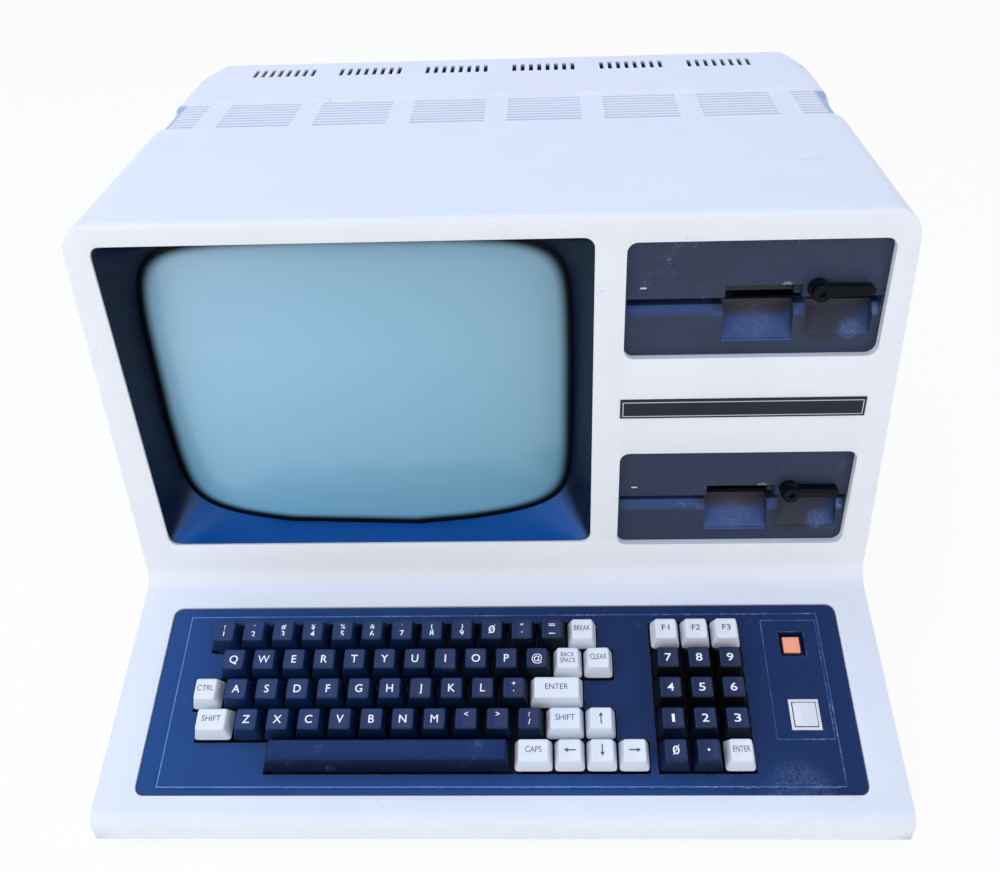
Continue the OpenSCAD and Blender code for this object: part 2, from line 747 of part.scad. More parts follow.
// Tapered block: the front slopes back more than the other sides
module cap_form(half, foot, h, below) intersection() {
    along_x(4 * half) polygon([[-foot, -below], [foot, -below], [foot - cap_back, h], [cap_front - foot, h]]);
    along_y(4 * foot) polygon([[-half, -below], [half, -below], [half - cap_side, h], [cap_side - half, h]]);
}

module key_run(run) for (i = [0:run[2] - 1]) at_key(run[1] + i, run[0]) key_cap(1);

module white_key(name) {
    place = WHITE_PLACES[search([name], WHITE_KEYS)[0]];
    color(key_white) at_key(place[0], place[1]) key_cap(place[2]);
}

module number_pad_keys() color(dark) {
    for (r = [1:3]) key_run([r, pad_col, 3]);
    key_run([4, pad_col, 2]);
}

module space_bar() color(navy) at_key(space_col, 4) {
    key_cap(space_u, false);
    for (x = [-space_stem, space_stem])
        translate([x, 0, key_top - cap_wall + 0.3]) key_stem(key_top - cap_wall + 0.3 + switch_top + stem_reach);
}

module switch_housing() difference() {
    block(switch_w, switch_w, -switch_top - switch_h, -switch_top);
    block(stem_w + 0.4, stem_w + 0.4, -switch_top - switch_h + 0.5, 1);
}

module key_switch_board() color(black) {
    for (run = [number_row, upper_row, home_row, lower_row], i = [0:run[2] - 1])
        at_key(run[1] + i, run[0]) switch_housing();
    for (r = [1:3], i = [0:2]) at_key(pad_col + i, r) switch_housing();
    for (i = [0, 1]) at_key(pad_col + i, 4) switch_housing();
    for (place = WHITE_PLACES) at_key(place[0], place[1]) switch_housing();
    at_key(space_col, 4) for (x = [-space_stem, 0, space_stem]) translate([x, 0, 0]) switch_housing();
    // Board, cut back at the front left to clear the picture controls
    on_keyboard() {
        left = kb_x - 1.05 * key_pitch;
        right = kb_x + (pad_col + 2.9) * key_pitch;
        step_x = kb_x + 1.4 * key_pitch;
        edge = 2.65 * key_pitch;
        translate([0, 0, -switch_top - switch_h - board_t]) linear_extrude(board_t)
            polygon([[left, edge], [left, -1.6 * key_pitch], [step_x, -1.6 * key_pitch], [step_x, -edge],
                     [right, -edge], [right, edge]]);
        // Pillars up to the underside of the surround
        for (p = [[left + 8, key_pitch], [kb_x + 12.5 * key_pitch, 0], [right - 3, 0], [step_x + 4, -2 * key_pitch]])
            translate([p[0], p[1], -switch_top - switch_h]) cylinder(h = switch_top + switch_h - kb_recess - kb_t, r = 2.5);
    }
}

module reset_button() color(orange) on_keyboard() translate([well_x, well_s, plateau_top - button_sink]) {
    block(button_w, button_w, -button_h, 0);
    block(button_w / 2 - 0.4, button_w / 2 - 0.4, -button_stem, -button_h + 0.5);
}

// ---------- disk drives ----------

module drive_bezel(level) color(dark) at_drive(level) difference() {
    union() {
        block(bezel_w, bezel_h, -drive_front - drive_bezel_t, -drive_front);
        // Lip along the foot of the finger notch, standing a little proud
        translate([notch_x, notch_bot, -drive_front]) block(notch_w, 2 * notch_lip, -1, notch_lip);
    }
    translate([0, 0, -drive_front]) {
        // Disk slot with a slanted lip below it
        cut_along_x(-slot_w / 2, slot_w, [[-1, slot_top], [drive_bezel_t + 1, slot_top],
            [drive_bezel_t + 1, slot_bot], [4, slot_bot], [0, slot_bot - slot_lip], [-1, slot_bot - slot_lip]]);
        // Finger notch across the slot, with a sloping floor; its top is wider
        cut_along_x(notch_x - notch_w / 2, notch_w, [[-2, notch_top], [notch_depth, notch_top],
            [notch_depth, slot_bot - 4], [-notch_lip, notch_bot], [-2, notch_bot]]);
        cut_along_x(notch_x - notch_w / 2, notch_w + notch_extra, [[-2, notch_top], [notch_depth / 2, notch_top],
            [notch_depth / 2, slot_bot], [-2, slot_bot]]);
        // Hollow below the lever
        cut_along_x(grip_x0, grip_w, [[-1, slot_bot + 1], [notch_depth - 2, slot_bot + 1],
            [notch_depth - 2, slot_bot - 4], [0.4, grip_bot], [-1, grip_bot]]);
    }
    translate([pivot_x, pivot_y, -drive_front - drive_bezel_t - 1])
        cylinder(h = drive_bezel_t + 2, r = lever_pin_d / 2 + shaft_fit);
    // Recess of the busy light
    translate([light_x, light_y, -drive_front]) block(light_w, light_h, -light_depth, 1);
}

module drive_lever(level) color(black) at_drive(level) translate([pivot_x, pivot_y, 0]) {
    translate([0, 0, -frame_front - 3]) cylinder(h = frame_front + 2, r = lever_pin_d / 2);
    translate([0, 0, fit - drive_front]) cylinder(h = drive_front - fit, r = hub_foot_r);
    difference() {
        union() {
            translate([0, 0, fit - drive_front]) cylinder(h = drive_front - fit + hub_out, r = hub_r);
            // Flat arm with a round end, thinner towards its tip
            translate([0, 0, fit - drive_front]) linear_extrude(drive_front - fit + arm_out)
                polygon(rounded([[0, -arm_w / 2], [lever_len, 0.6 - arm_w / 2],
                    [lever_len, arm_w / 2 - 0.6], [0, arm_w / 2]], [0, arm_tip_r, arm_tip_r, 0]));
        }
        translate([0, 0, hub_out - hub_hole]) cylinder(h = 2 * hub_hole, r = hub_hole, $fn = 6);
    }
}

module drive_chassis(level) color(alloy) at_drive(level) {
    x = frame_w / 2;
    difference() {
        union() {
            for (s = [-1, 1]) translate([s * (x - rail_t / 2), 0, 0])
                cut_bar(rail_t, -frame_h / 2, rail_top, frame_front, frame_front + frame_len);
            cut_bar(frame_w, plate_y - plate_t, plate_y, frame_front, frame_front + frame_len);
            // Rear wall
            cut_bar(frame_w, -frame_h / 2, plate_y, frame_front + frame_len - 4, frame_front + frame_len);
            // Disk guides
            for (s = [-1, 1]) translate([s * (x - rail_t - 2), 0, 0])
                cut_bar(5, plate_y - 1, slot_bot - 0.6, frame_front, frame_front + 120);
            // Bearing housing of the spindle
            translate([0, plate_y - plate_t - 8, -spindle_depth]) rotate([-90, 0, 0]) cylinder(h = 9, r = 12);
            // Rods that carry the heads, between two posts
            for (s = [-rod_x, rod_x]) {
                translate([s, plate_y + 5.5, -frame_front - frame_len + 1])
                    cylinder(h = frame_front + frame_len - carriage_tip + 13, r = rod_r);
                for (d = [carriage_tip - 16, frame_front + frame_len - 4])
                    translate([s, 0, 0]) cut_bar(8, plate_y - 1, plate_y + 9, d, d + 4);
            }
            // Posts for the circuit board
            for (s = [-1, 1], d = [frame_front + 20, frame_front + frame_len - 20])
                translate([s * (x - 4), rail_top - 1, -d]) rotate([-90, 0, 0]) cylinder(h = 9, r = 4);
        }
        translate([0, plate_y - plate_t - 9, -spindle_depth]) rotate([-90, 0, 0])
            cylinder(h = 40, r = spindle_r + shaft_fit);
        translate([-x - 1, arm_pivot_y, -arm_pivot_depth]) rotate([0, 90, 0])
            cylinder(h = frame_w + 2, r = 3 + shaft_fit);
    }
}

// Bar w wide in x, between two heights and two depths behind the face
module cut_bar(w, y0, y1, d0, d1) translate([-w / 2, y0, -d1]) cube([w, y1 - y0, d1 - d0]);

module drive_boards() color(board) for (level = [drive_upper, drive_lower]) at_drive(level)
    translate([0, rail_top + 8, -frame_front - frame_len / 2]) rotate([-90, 0, 0])
        circuit_board(frame_w - 2, frame_len - 14, 5, 4);

module spindle(level) color(steel) at_drive(level) translate([0, 0, -spindle_depth]) rotate([-90, 0, 0]) {
    // The hub turns just above the plate and the belt pulley below it
    translate([0, 0, plate_y + 0.5]) cylinder(h = slot_bot - 1 - plate_y, r = disk_hub_r);
    translate([0, 0, plate_y - plate_t - 16]) cylinder(h = plate_t + 18, r = spindle_r);
    translate([0, 0, plate_y - plate_t - 15]) cylinder(h = 6, r = pulley_r);
}

module head_carriage(level) color(alloy) at_drive(level) {
    body_depth = carriage_tip + 24;
    difference() {
        union() {
            cut_bar(56, plate_y + 0.6, slot_top + 5, body_depth, body_depth + 18);
            // Lower and upper head arms, with the disk between them
            cut_bar(18, plate_y + 0.6, slot_bot - 1, carriage_tip, body_depth + 1);
            cut_bar(18, slot_top + 1, slot_top + 5, carriage_tip, body_depth + 1);
        }
        for (s = [-rod_x, rod_x]) translate([s, plate_y + 5.5, -body_depth - 19])
            cylinder(h = 20, r = rod_r + shaft_fit);
    }
}

module clamp_arm(level) color(steel) at_drive(level) {
    cut_bar(50, arm_pivot_y + 1, arm_pivot_y + 3.5, spindle_depth - 16, arm_pivot_depth);
    translate([0, arm_pivot_y - 7, -spindle_depth]) rotate([-90, 0, 0]) cylinder(h = 9, r = 11);
    translate([0.2 - frame_w / 2, arm_pivot_y, -arm_pivot_depth]) rotate([0, 90, 0])
        cylinder(h = frame_w - 0.4, r = 3);
}

module drive_motors() color(steel) for (level = [drive_upper, drive_lower]) at_drive(level) {
    motor_y = plate_y - plate_t;
    translate([-42, -frame_h / 2 + 1, -spindle_depth - 68]) rotate([-90, 0, 0]) {
        cylinder(h = 14, r = 19);
        cylinder(h = motor_y + frame_h / 2 - 1, r = 8);
    }
    translate([42, -frame_h / 2 + 1, -spindle_depth - 68]) rotate([-90, 0, 0])
        cylinder(h = motor_y + frame_h / 2 - 1, r = 20);
}

// ---------- inner metalwork and boards ----------

module drive_brackets() color(alloy) intersection() {
    on_face() for (s = [-1, 1]) {
        side_x = drive_x + s * (frame_w / 2 + fit + bracket_t / 2);
        difference() {
            translate([side_x, 0, 0])
                cut_bar(bracket_t, -140, drive_upper + 42, frame_front + 6, frame_front + 180);
            // Large hole between the drives
            translate([side_x, (drive_upper + drive_lower) / 2, 0])
                cut_bar(4, -20, 20, frame_front + 40, frame_front + 150);
        }
        // Pads that meet the drive frames
        for (level = [drive_upper, drive_lower], d = [frame_front + 20, frame_front + 130])
            translate([drive_x + s * (frame_w / 2 + fit / 2), level - 30, -d - 8]) block(fit, 16, 0, 16);
    }
    translate([0, 0, base_z + base_t]) linear_extrude(big) square(big, center = true);
}

// Open tray with a board, a transformer and the fins of a heat sink
module power_supply() color(alloy) translate([supply_x, supply_y, base_z + base_t + 4]) {
    difference() {
        block(supply_w, supply_d, 0, supply_h);
        block(supply_w - 2 * sheet_t, supply_d - 2 * sheet_t, sheet_t, 2 * supply_h);
    }
    translate([0, 0, sheet_t]) circuit_board(supply_w - 10, supply_d - 10, 2, 3);
    translate([-45, 10, 2 * sheet_t]) block(46, 40, 0, 40);
    for (k = [0:5]) translate([30 + k * 6, 20, 2 * sheet_t]) block(2, 50, 0, 32);
}

// Main board standing across the rear, and the disk board in front of it
module logic_boards() color(board) {
    translate([0, main_board_y, 112]) rotate([90, 0, 0]) circuit_board(main_board_w, 170, 6, 9);
    translate([70, disk_board_y, 100]) rotate([90, 0, 0]) circuit_board(150, 120, 4, 4);
    for (x = [4, 136], z = [50, 150]) translate([x, disk_board_y, z]) rotate([-90, 0, 0])
        cylinder(h = main_board_y - disk_board_y - board_t, r = pillar_r);
}

// Sheet upright with a foot, which carries the main board on pillars
module board_bracket() color(alloy) {
    translate([0, bracket_y, 0]) rotate([90, 0, 0]) difference() {
        translate([0, bracket_h / 2 + base_z + base_t, 0]) block(bracket_w, bracket_h, 0, sheet_t);
        for (x = [-140:70:140]) translate([x, 160, 0]) block(50, 40, -1, 2 * sheet_t);
    }
    translate([0, main_board_y, base_z + base_t]) block(bracket_w, bracket_foot, 0, sheet_t);
    for (x = [-160, 0, 160], z = [40, 180]) translate([x, main_board_y, z]) rotate([-90, 0, 0])
        cylinder(h = bracket_y - main_board_y - sheet_t, r = pillar_r);
}

module speaker() color(black) translate([-60, -120, base_z + base_t]) rotate_extrude()
    polygon([[0, 0], [28, 0], [28, 3], [24, 4], [14, 12], [14, 20], [0, 20]]);

module ribbon_cables() color("#8E939C") {
    // Keyboard ribbon along the floor to the main board
    along_ribbon(10, 50, [0, 1.2], [[-145, 42], [-120, 30], [-60, 18], [-10, 15], [120, 15], [190, 20],
                                    [rear_y - 54, 40]]);
    // Drive ribbon down behind the drives
    along_ribbon(drive_x, 34, [0.9, 0.9], [behind_face(drive_rear + 1, drive_upper + 20),
        behind_face(drive_rear + 9, drive_upper - 60), behind_face(drive_rear + 9, drive_lower + 20),
        [rear_y - 120, 82], [rear_y - 73, 80]]);
}

// Flat cable of width w in x, through points in y and z, thickened by the vector t
module along_ribbon(x, w, t, pts) translate([x, 0, 0]) along_x(w)
    polygon(concat(pts, [for (i = [len(pts) - 1:-1:0]) pts[i] + t]));

module power_inlet() color(black) translate([inlet_x, rear_y, inlet_z]) rotate([90, 0, 0]) difference() {
    union() {
        cylinder(h = 2, r = inlet_head_r);
        cylinder(h = 22, r = inlet_r);
    }
    translate([0, 0, -1]) cylinder(h = 30, r = 3.6);
}

// Wheel on its own short axle, held by the side of the pocket and the web
module picture_knob(side) color(black) control_pocket(-1) translate([side * knob_x, 0, knob_up]) rotate([0, 90, 0]) {
    cylinder(h = pocket_w / 2 - 1, r = axle_r, center = true);
    cylinder(h = knob_w, r = knob_r, center = true);
}

module power_rocker() color(black) control_pocket(1) translate([0, 0, rocker_up]) {
    rotate([0, 90, 0]) cylinder(h = pocket_w, r = axle_r, center = true);
    along_x(rocker_w) polygon([[-rocker_len / 2, -4.5], [0, -3.5], [rocker_len / 2, -6], [rocker_len / 2, -1],
                               [0, 2], [-rocker_len / 2, 0]]);
}

// ---------- nodes ----------

top_case();
base_pan();
rubber_feet();
case_screws();
screen_bezel();
crt_tube();
crt_band();
deflection_yoke();
video_boards();
keyboard_bezel();
key_switch_board();
name_strip();
badge_tile();
drive_bezel(drive_upper);  // drive_bezel_upper
drive_bezel(drive_lower);  // drive_bezel_lower
drive_chassis(drive_upper);  // drive_chassis_upper
drive_chassis(drive_lower);  // drive_chassis_lower
drive_boards();
drive_motors();
drive_brackets();
power_supply();
logic_boards();
board_bracket();
speaker();
ribbon_cables();
power_inlet();
space_bar();
reset_button();
white_key("break_key");  // break_key
white_key("backspace_key");  // backspace_key
white_key("clear_key");  // clear_key
white_key("control_key");  // control_key
white_key("enter_key");  // enter_key
white_key("shift_key_left");  // shift_key_left
white_key("shift_key_right");  // shift_key_right
white_key("up_key");  // up_key
white_key("caps_key");  // caps_key
white_key("left_key");  // left_key
white_key("down_key");  // down_key
white_key("right_key");  // right_key
white_key("f1_key");  // f1_key
white_key("f2_key");  // f2_key
white_key("f3_key");  // f3_key
white_key("pad_enter_key");  // pad_enter_key
color(dark) key_run(number_row);  // number_row_keys
color(dark) key_run(upper_row);  // upper_row_keys
color(dark) key_run(home_row);  // home_row_keys
color(dark) key_run(lower_row);  // lower_row_keys
number_pad_keys();
drive_lever(drive_upper);  // drive_lever_upper
drive_lever(drive_lower);  // drive_lever_lower
spindle(drive_upper);  // spindle_upper
spindle(drive_lower);  // spindle_lower
head_carriage(drive_upper);  // head_carriage_upper
head_carriage(drive_lower);  // head_carriage_lower
clamp_arm(drive_upper);  // clamp_arm_upper
clamp_arm(drive_lower);  // clamp_arm_lower
power_rocker();
picture_knob(-1);  // brightness_knob
picture_knob(1);  // contrast_knob
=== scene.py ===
"""Looks of a desktop home computer of the early 1980s, in metres: X to the right,
Y to the rear, Z up, the origin on the table under the middle of the cabinet."""
import math

import bmesh
import bpy
import numpy as np
from mathutils import Matrix, Vector


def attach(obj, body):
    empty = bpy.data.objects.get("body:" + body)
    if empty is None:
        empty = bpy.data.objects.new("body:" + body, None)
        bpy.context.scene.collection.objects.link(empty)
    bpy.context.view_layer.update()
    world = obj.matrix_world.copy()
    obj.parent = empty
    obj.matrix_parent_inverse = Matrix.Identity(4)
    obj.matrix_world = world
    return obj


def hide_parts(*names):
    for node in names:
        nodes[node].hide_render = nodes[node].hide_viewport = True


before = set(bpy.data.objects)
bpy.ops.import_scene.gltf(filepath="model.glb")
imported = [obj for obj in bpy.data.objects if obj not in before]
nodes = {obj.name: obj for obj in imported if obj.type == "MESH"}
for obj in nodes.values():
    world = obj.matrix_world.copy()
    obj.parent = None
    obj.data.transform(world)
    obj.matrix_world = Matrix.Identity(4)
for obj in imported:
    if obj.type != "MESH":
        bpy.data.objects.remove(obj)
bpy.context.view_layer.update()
MM = 0.001

# ---- Camera -----------------------------------------------------------------
# A view from above the keyboard, close to the machine, a little to the right of
# its middle and turned slightly to the left, with the horizon tipped by 2.2 degrees.
EYE = Vector((31.7, -570.0, 530.0)) * MM
YAW, PITCH, ROLL = math.radians(-2.4), math.radians(37.9), math.radians(-2.2)
PHOTO_W, PHOTO_H = 1000, 872
FOCAL_PX = 947.6
AXIS_PX, AXIS_PY = 515.8, 445.9

look = Vector((math.sin(YAW) * math.cos(PITCH), math.cos(YAW) * math.cos(PITCH), -math.sin(PITCH)))
level = Vector((math.cos(YAW), -math.sin(YAW), 0))
across = math.cos(ROLL) * level + math.sin(ROLL) * level.cross(look)
upward = across.cross(look)
turn = Matrix((across, upward, -look)).transposed().to_4x4()
camera_data = bpy.data.cameras.new("camera")
camera_data.sensor_fit = "HORIZONTAL"
camera_data.lens = FOCAL_PX / PHOTO_W * camera_data.sensor_width
camera_data.shift_x = (PHOTO_W / 2 - AXIS_PX) / PHOTO_W
camera_data.shift_y = (AXIS_PY - PHOTO_H / 2) / PHOTO_W
camera_data.clip_start = 0.01
camera = bpy.data.objects.new("camera", camera_data)
camera.matrix_world = Matrix.Translation(EYE) @ turn
bpy.context.collection.objects.link(camera)
bpy.context.scene.camera = camera

# ---- Studio -----------------------------------------------------------------
# A white paper floor under large soft lamps. The camera, gloss and glass see the
# paper as white; the object's own shadow stays on it.


def linear(code):
    """The linear RGBA of an sRGB hex colour."""
    s = np.array([int(code[i:i + 2], 16) / 255 for i in (1, 3, 5)])
    return (*np.where(s <= 0.04045, s / 12.92, ((s + 0.055) / 1.055) ** 2.4), 1.0)


def add(tree, kind, links=(), **settings):
    """Add a node: settings name its properties or sockets, links feed its sockets."""
    made = tree.nodes.new("ShaderNode" + kind)
    for name, value in settings.items():
        if hasattr(made, name):
            setattr(made, name, value)
        else:
            made.inputs[name.replace("_", " ")].default_value = value
    for socket, source in dict(links).items():
        tree.links.new(source, made.inputs[socket])
    return made


def calc(tree, operation, first, second):
    """The result of a math node on two values, each of them an output or a number."""
    made = add(tree, "Math", operation=operation)
    for socket, value in zip(made.inputs, (first, second)):
        if isinstance(value, (int, float)):
            socket.default_value = value
        else:
            tree.links.new(value, socket)
    return made.outputs[0]


def seen_directly(tree):
    """1 where a camera, glossy or transmitted ray meets the surface, otherwise 0."""
    rays = add(tree, "LightPath").outputs
    mirrored = calc(tree, "MAXIMUM", rays["Is Camera Ray"], rays["Is Glossy Ray"])
    return calc(tree, "MAXIMUM", mirrored, rays["Is Transmission Ray"])


ROOM_LIGHT = 0.6
PAPER_GLOW = 0.9
FLOOR_HALF = 6.0

scene = bpy.context.scene
scene.view_settings.view_transform = "Standard"

world = bpy.data.worlds.new("studio")
world.use_nodes = True
scene.world = world
sky = world.node_tree
sky.nodes.clear()
room = add(sky, "Background", Color=linear("#EFF3FB"), Strength=ROOM_LIGHT)
white = add(sky, "Background", Color=(1, 1, 1, 1), Strength=1.0)
sky_mix = add(sky, "MixShader", {0: seen_directly(sky), 1: room.outputs[0], 2: white.outputs[0]})
add(sky, "OutputWorld", {"Surface": sky_mix.outputs[0]})

paper = bpy.data.materials.new("white_paper")
paper.use_nodes = True
tree = paper.node_tree
tree.nodes.clear()
glow = calc(tree, "MULTIPLY", seen_directly(tree), PAPER_GLOW)
matt = add(tree, "BsdfDiffuse", Color=linear("#F4F4F4"))
lit = add(tree, "Emission", Color=(1, 1, 1, 1), Strength=1.0)
paper_mix = add(tree, "MixShader", {0: glow, 1: matt.outputs[0], 2: lit.outputs[0]})
add(tree, "OutputMaterial", {"Surface": paper_mix.outputs[0]})

floor_mesh = bpy.data.meshes.new("floor")
corners = [(-FLOOR_HALF, -FLOOR_HALF, 0), (FLOOR_HALF, -FLOOR_HALF, 0), (FLOOR_HALF, FLOOR_HALF, 0),
           (-FLOOR_HALF, FLOOR_HALF, 0)]
floor_mesh.from_pydata(corners, [], [(0, 1, 2, 3)])
floor_mesh.materials.append(paper)
floor = bpy.data.objects.new("floor", floor_mesh)
bpy.context.collection.objects.link(floor)

LAMP_AIM = Vector((0, 0, 0.15))


def soft_lamp(name, at, size, watts, colour):
    """A square area lamp at one point, aimed at the middle of the machine."""
    data = bpy.data.lights.new(name, "AREA")
    data.size = size
    data.energy = watts
    data.color = linear(colour)[:3]
    lamp = bpy.data.objects.new(name, data)
    aimed = (LAMP_AIM - Vector(at)).to_track_quat("-Z", "Y").to_matrix().to_4x4()
    lamp.matrix_world = Matrix.Translation(at) @ aimed
    bpy.context.collection.objects.link(lamp)


soft_lamp("overhead", (-0.5, 0.2, 2.0), 1.6, 18, "#CCDBFF")
soft_lamp("front_left", (-1.5, -1.5, 1.1), 1.4, 17, "#FFFDFA")
soft_lamp("front_right", (1.6, -1.4, 0.9), 1.2, 10, "#FFFDFA")

# ---- Cabinet ----------------------------------------------------------------
# Top case and base of a cool white structural foam, moulded with a fine spark grain
# and painted. It is slightly mottled; its faces that look up are painted a bluer white as
# light from above, and its louvres and vents are painted blue-grey as their shade.
# The white, and the bluer white painted as light on faces that look up
WHITE, WHITE_LIT = "#E7EAEE", "#DBE1EC"
GRAIN = 0.9 * MM
NOISE_SPAN = (0.3, 0.7)


def ramp(tree, value, low, high, start=0.0, end=1.0, kind="LINEAR"):
    """Start where the value is at low, end where it is at high, a share of the way between."""
    return add(tree, "MapRange", {"Value": value}, From_Min=low, From_Max=high, To_Min=start,
               To_Max=end, interpolation_type=kind).outputs[0]


def noise(tree, place, size, detail=2, rough=0.5):
    """A cloudy pattern from 0 to 1, its clouds about size wide; most lies in NOISE_SPAN."""
    return add(tree, "TexNoise", {"Vector": place}, Scale=1 / size, Detail=detail,
               Roughness=rough).outputs["Fac"]


def along(tree, vector, axis):
    """The length of a vector along a fixed axis."""
    made = add(tree, "VectorMath", {0: vector}, operation="DOT_PRODUCT")
    made.inputs[1].default_value = axis
    return made.outputs["Value"]


def blend(tree, share, under, code):
    """Mix a constant colour over another colour by a share."""
    mixed = add(tree, "Mix", {0: share, 6: under}, data_type="RGBA")
    mixed.inputs[7].default_value = linear(code)
    return mixed.outputs[2]


def add_colour(tree, code):
    """A constant colour output for a pattern to work on."""
    made = add(tree, "RGB")
    made.outputs[0].default_value = linear(code)
    return made.outputs[0]


def finish(name, colour, roughness, grain, depth, mottle, specks=0.0, speck_colour="#C9D2E0",
           coat=0.0, speck_size=0.5 * MM, lit_from_above=None, worn_and_lit=None, gloss=0.5, spots=(), flat=False,
           after=None):
    """A moulded plastic: grain is the width of its texture and depth its bump height in
    metres, mottle the share by which its tone drifts, specks the share of dusty points.
    The argument lit_from_above is (colour, low, high): painted light, the colour of faces that
    look up to the lamps, by the normal's z. The argument worn_and_lit is (colour, axis): the colour
    of edges that turn away from the axis, partly wear and partly a painted highlight. Spots are
    (middle, radius, colour, share, broken): patches of dirt and of painted shade, broken up or even.
    Flat takes the faces' own normals; after(tree, place, colour) works on the colour last."""
    made = bpy.data.materials.new(name)
    made.use_nodes = True
    tree = made.node_tree
    shader = tree.nodes["Principled BSDF"]
    shader.inputs["Coat Weight"].default_value = coat
    shader.inputs["Coat Roughness"].default_value = 0.12
    shader.inputs["Specular IOR Level"].default_value = gloss
    place = add(tree, "TexCoord").outputs["Object"]
    facing = add(tree, "NewGeometry").outputs["True Normal" if flat else "Normal"]
    drift = noise(tree, place, 50 * MM, 5, 0.6)
    out = add_colour(tree, colour)
    if lit_from_above:
        light, low, high = lit_from_above
        height = add(tree, "SeparateXYZ", {0: facing}).outputs[2]
        out = blend(tree, ramp(tree, height, low, high), out, light)
    if worn_and_lit:
        light, axis = worn_and_lit
        turned = along(tree, facing, axis)
        edge = calc(tree, "MULTIPLY", ramp(tree, turned, 0.985, 0.9), ramp(tree, turned, 0.15, 0.5))
        rubbed = ramp(tree, noise(tree, place, 4 * MM, 4, 0.7), 0.42, 0.62, end=0.8)
        out = blend(tree, calc(tree, "MULTIPLY", edge, rubbed), out, light)
    shade = ramp(tree, drift, *NOISE_SPAN, 1 - mottle, 1 + mottle)
    out = add(tree, "VectorMath", {0: out, 3: shade}, operation="SCALE").outputs[0]
    if specks:
        points, patches = noise(tree, place, speck_size, 2, 0.7), noise(tree, place, 18 * MM, 3)
        dust = calc(tree, "MULTIPLY", points, patches)
        mask = ramp(tree, dust, 0.42 - 0.12 * specks, 0.56 - 0.10 * specks, end=0.75)
        out = blend(tree, mask, out, speck_colour)
    for middle, radius, patch_colour, most, broken in spots:
        off = add(tree, "VectorMath", {0: place}, operation="DISTANCE")
        off.inputs[1].default_value = middle
        patch = ramp(tree, off.outputs["Value"], radius, radius * 0.55, end=most, kind="SMOOTHSTEP")
        if broken:
            crumbs = ramp(tree, noise(tree, place, 1.6 * MM, 6, 0.85), 0.44, 0.7)
            patch = calc(tree, "MULTIPLY", patch, crumbs)
        out = blend(tree, patch, out, patch_colour)
    if after:
        out = after(tree, place, out)
    tree.links.new(out, shader.inputs["Base Color"])
    sheen = ramp(tree, drift, *NOISE_SPAN, roughness * 0.92, roughness * 1.08)
    tree.links.new(sheen, shader.inputs["Roughness"])
    bump = add(tree, "Bump", {"Height": noise(tree, place, grain)}, Strength=0.5, Distance=depth)
    tree.links.new(bump.outputs[0], shader.inputs["Normal"])
    return made


def paint(name, material):
    """Give a CAD node's object one material."""
    mesh = nodes[name].data
    mesh.materials.clear()
    mesh.materials.append(material)


BENT, FLAT = math.radians(30), math.radians(0.6)


def eased(name, width, material, body, segments=2, share=None, splits=(), soft=True):
    """A copy of a CAD node with its sharp edges rounded: faces within FLAT are joined and cut
    anew, and at the planes x = splits, then every edge bent by more than BENT is bevelled by
    width, or by the share of it that share(end, end) gives; edges with 0 stay sharp, edges
    with None smooth. Without soft, faces keep their own flat shading."""
    mesh = nodes[name].data.copy()
    shape = bmesh.new()
    shape.from_mesh(mesh)
    bmesh.ops.remove_doubles(shape, verts=shape.verts, dist=0.002 * MM)
    bmesh.ops.dissolve_limit(shape, angle_limit=FLAT, verts=shape.verts, edges=shape.edges,
                             delimit={"NORMAL"})
    bmesh.ops.triangulate(shape, faces=[face for face in shape.faces if len(face.verts) > 4])
    for x in splits:
        bmesh.ops.bisect_plane(shape, geom=[*shape.verts, *shape.edges, *shape.faces],
                               dist=0.01 * MM, plane_co=(x, 0, 0), plane_no=(1, 0, 0))
    if share:
        weight = shape.edges.layers.float.new("bevel_weight_edge")
        for edge in shape.edges:
            portion = share(edge.verts[0].co, edge.verts[1].co)
            if edge.calc_face_angle(0) > BENT and portion is not None:
                edge[weight] = portion
                edge.smooth = portion > 0
    shape.to_mesh(mesh)
    shape.free()
    piece = bpy.data.objects.new(name + "_eased", mesh)
    bpy.context.collection.objects.link(piece)
    mesh.materials.clear()
    mesh.materials.append(material)
    mesh.polygons.foreach_set("use_smooth", np.full(len(mesh.polygons), soft))
    bevel = piece.modifiers.new("edges", "BEVEL")
    bevel.width = width
    bevel.segments = segments
    bevel.limit_method = "WEIGHT" if share else "ANGLE"
    bevel.angle_limit = BENT
    bevel.miter_outer = "MITER_ARC"
    bevel.harden_normals = soft
    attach(piece, body)
    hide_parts(name)


# Planes of the outer form: the drafted sides, the leaning face, the deck and the hips
HALF_W, FLOOR_GAP, TOP_Z = 239.7 * MM, 5.5 * MM, 317.5 * MM
SIDE_DRAFT = math.radians(1.4)
FACE_FOOT, FACE_LEAN = Vector((0, -121.4, 100)) * MM, math.radians(6)
FACE_UP = Vector((0, math.sin(FACE_LEAN), math.cos(FACE_LEAN)))
FACE_OUT = Vector((0, -math.cos(FACE_LEAN), math.sin(FACE_LEAN)))
DECK_FOOT, DECK_TILT = Vector((0, -273, 24)) * MM, math.radians(17.7)
DECK_UP = Vector((0, math.cos(DECK_TILT), math.sin(DECK_TILT)))
DECK_OUT = Vector((0, -math.sin(DECK_TILT), math.cos(DECK_TILT)))
HIP_FOOT = Vector((HALF_W - (TOP_Z - FLOOR_GAP) * math.tan(SIDE_DRAFT), 0.125, TOP_Z))
HIP_TURN, HIP_SLOPE = math.radians(18), math.radians(-34)
HIP_OUT = Matrix.Rotation(HIP_TURN, 3, "Z") @ Matrix.Rotation(HIP_SLOPE, 3, "Y") @ Vector((1, 0, 0))
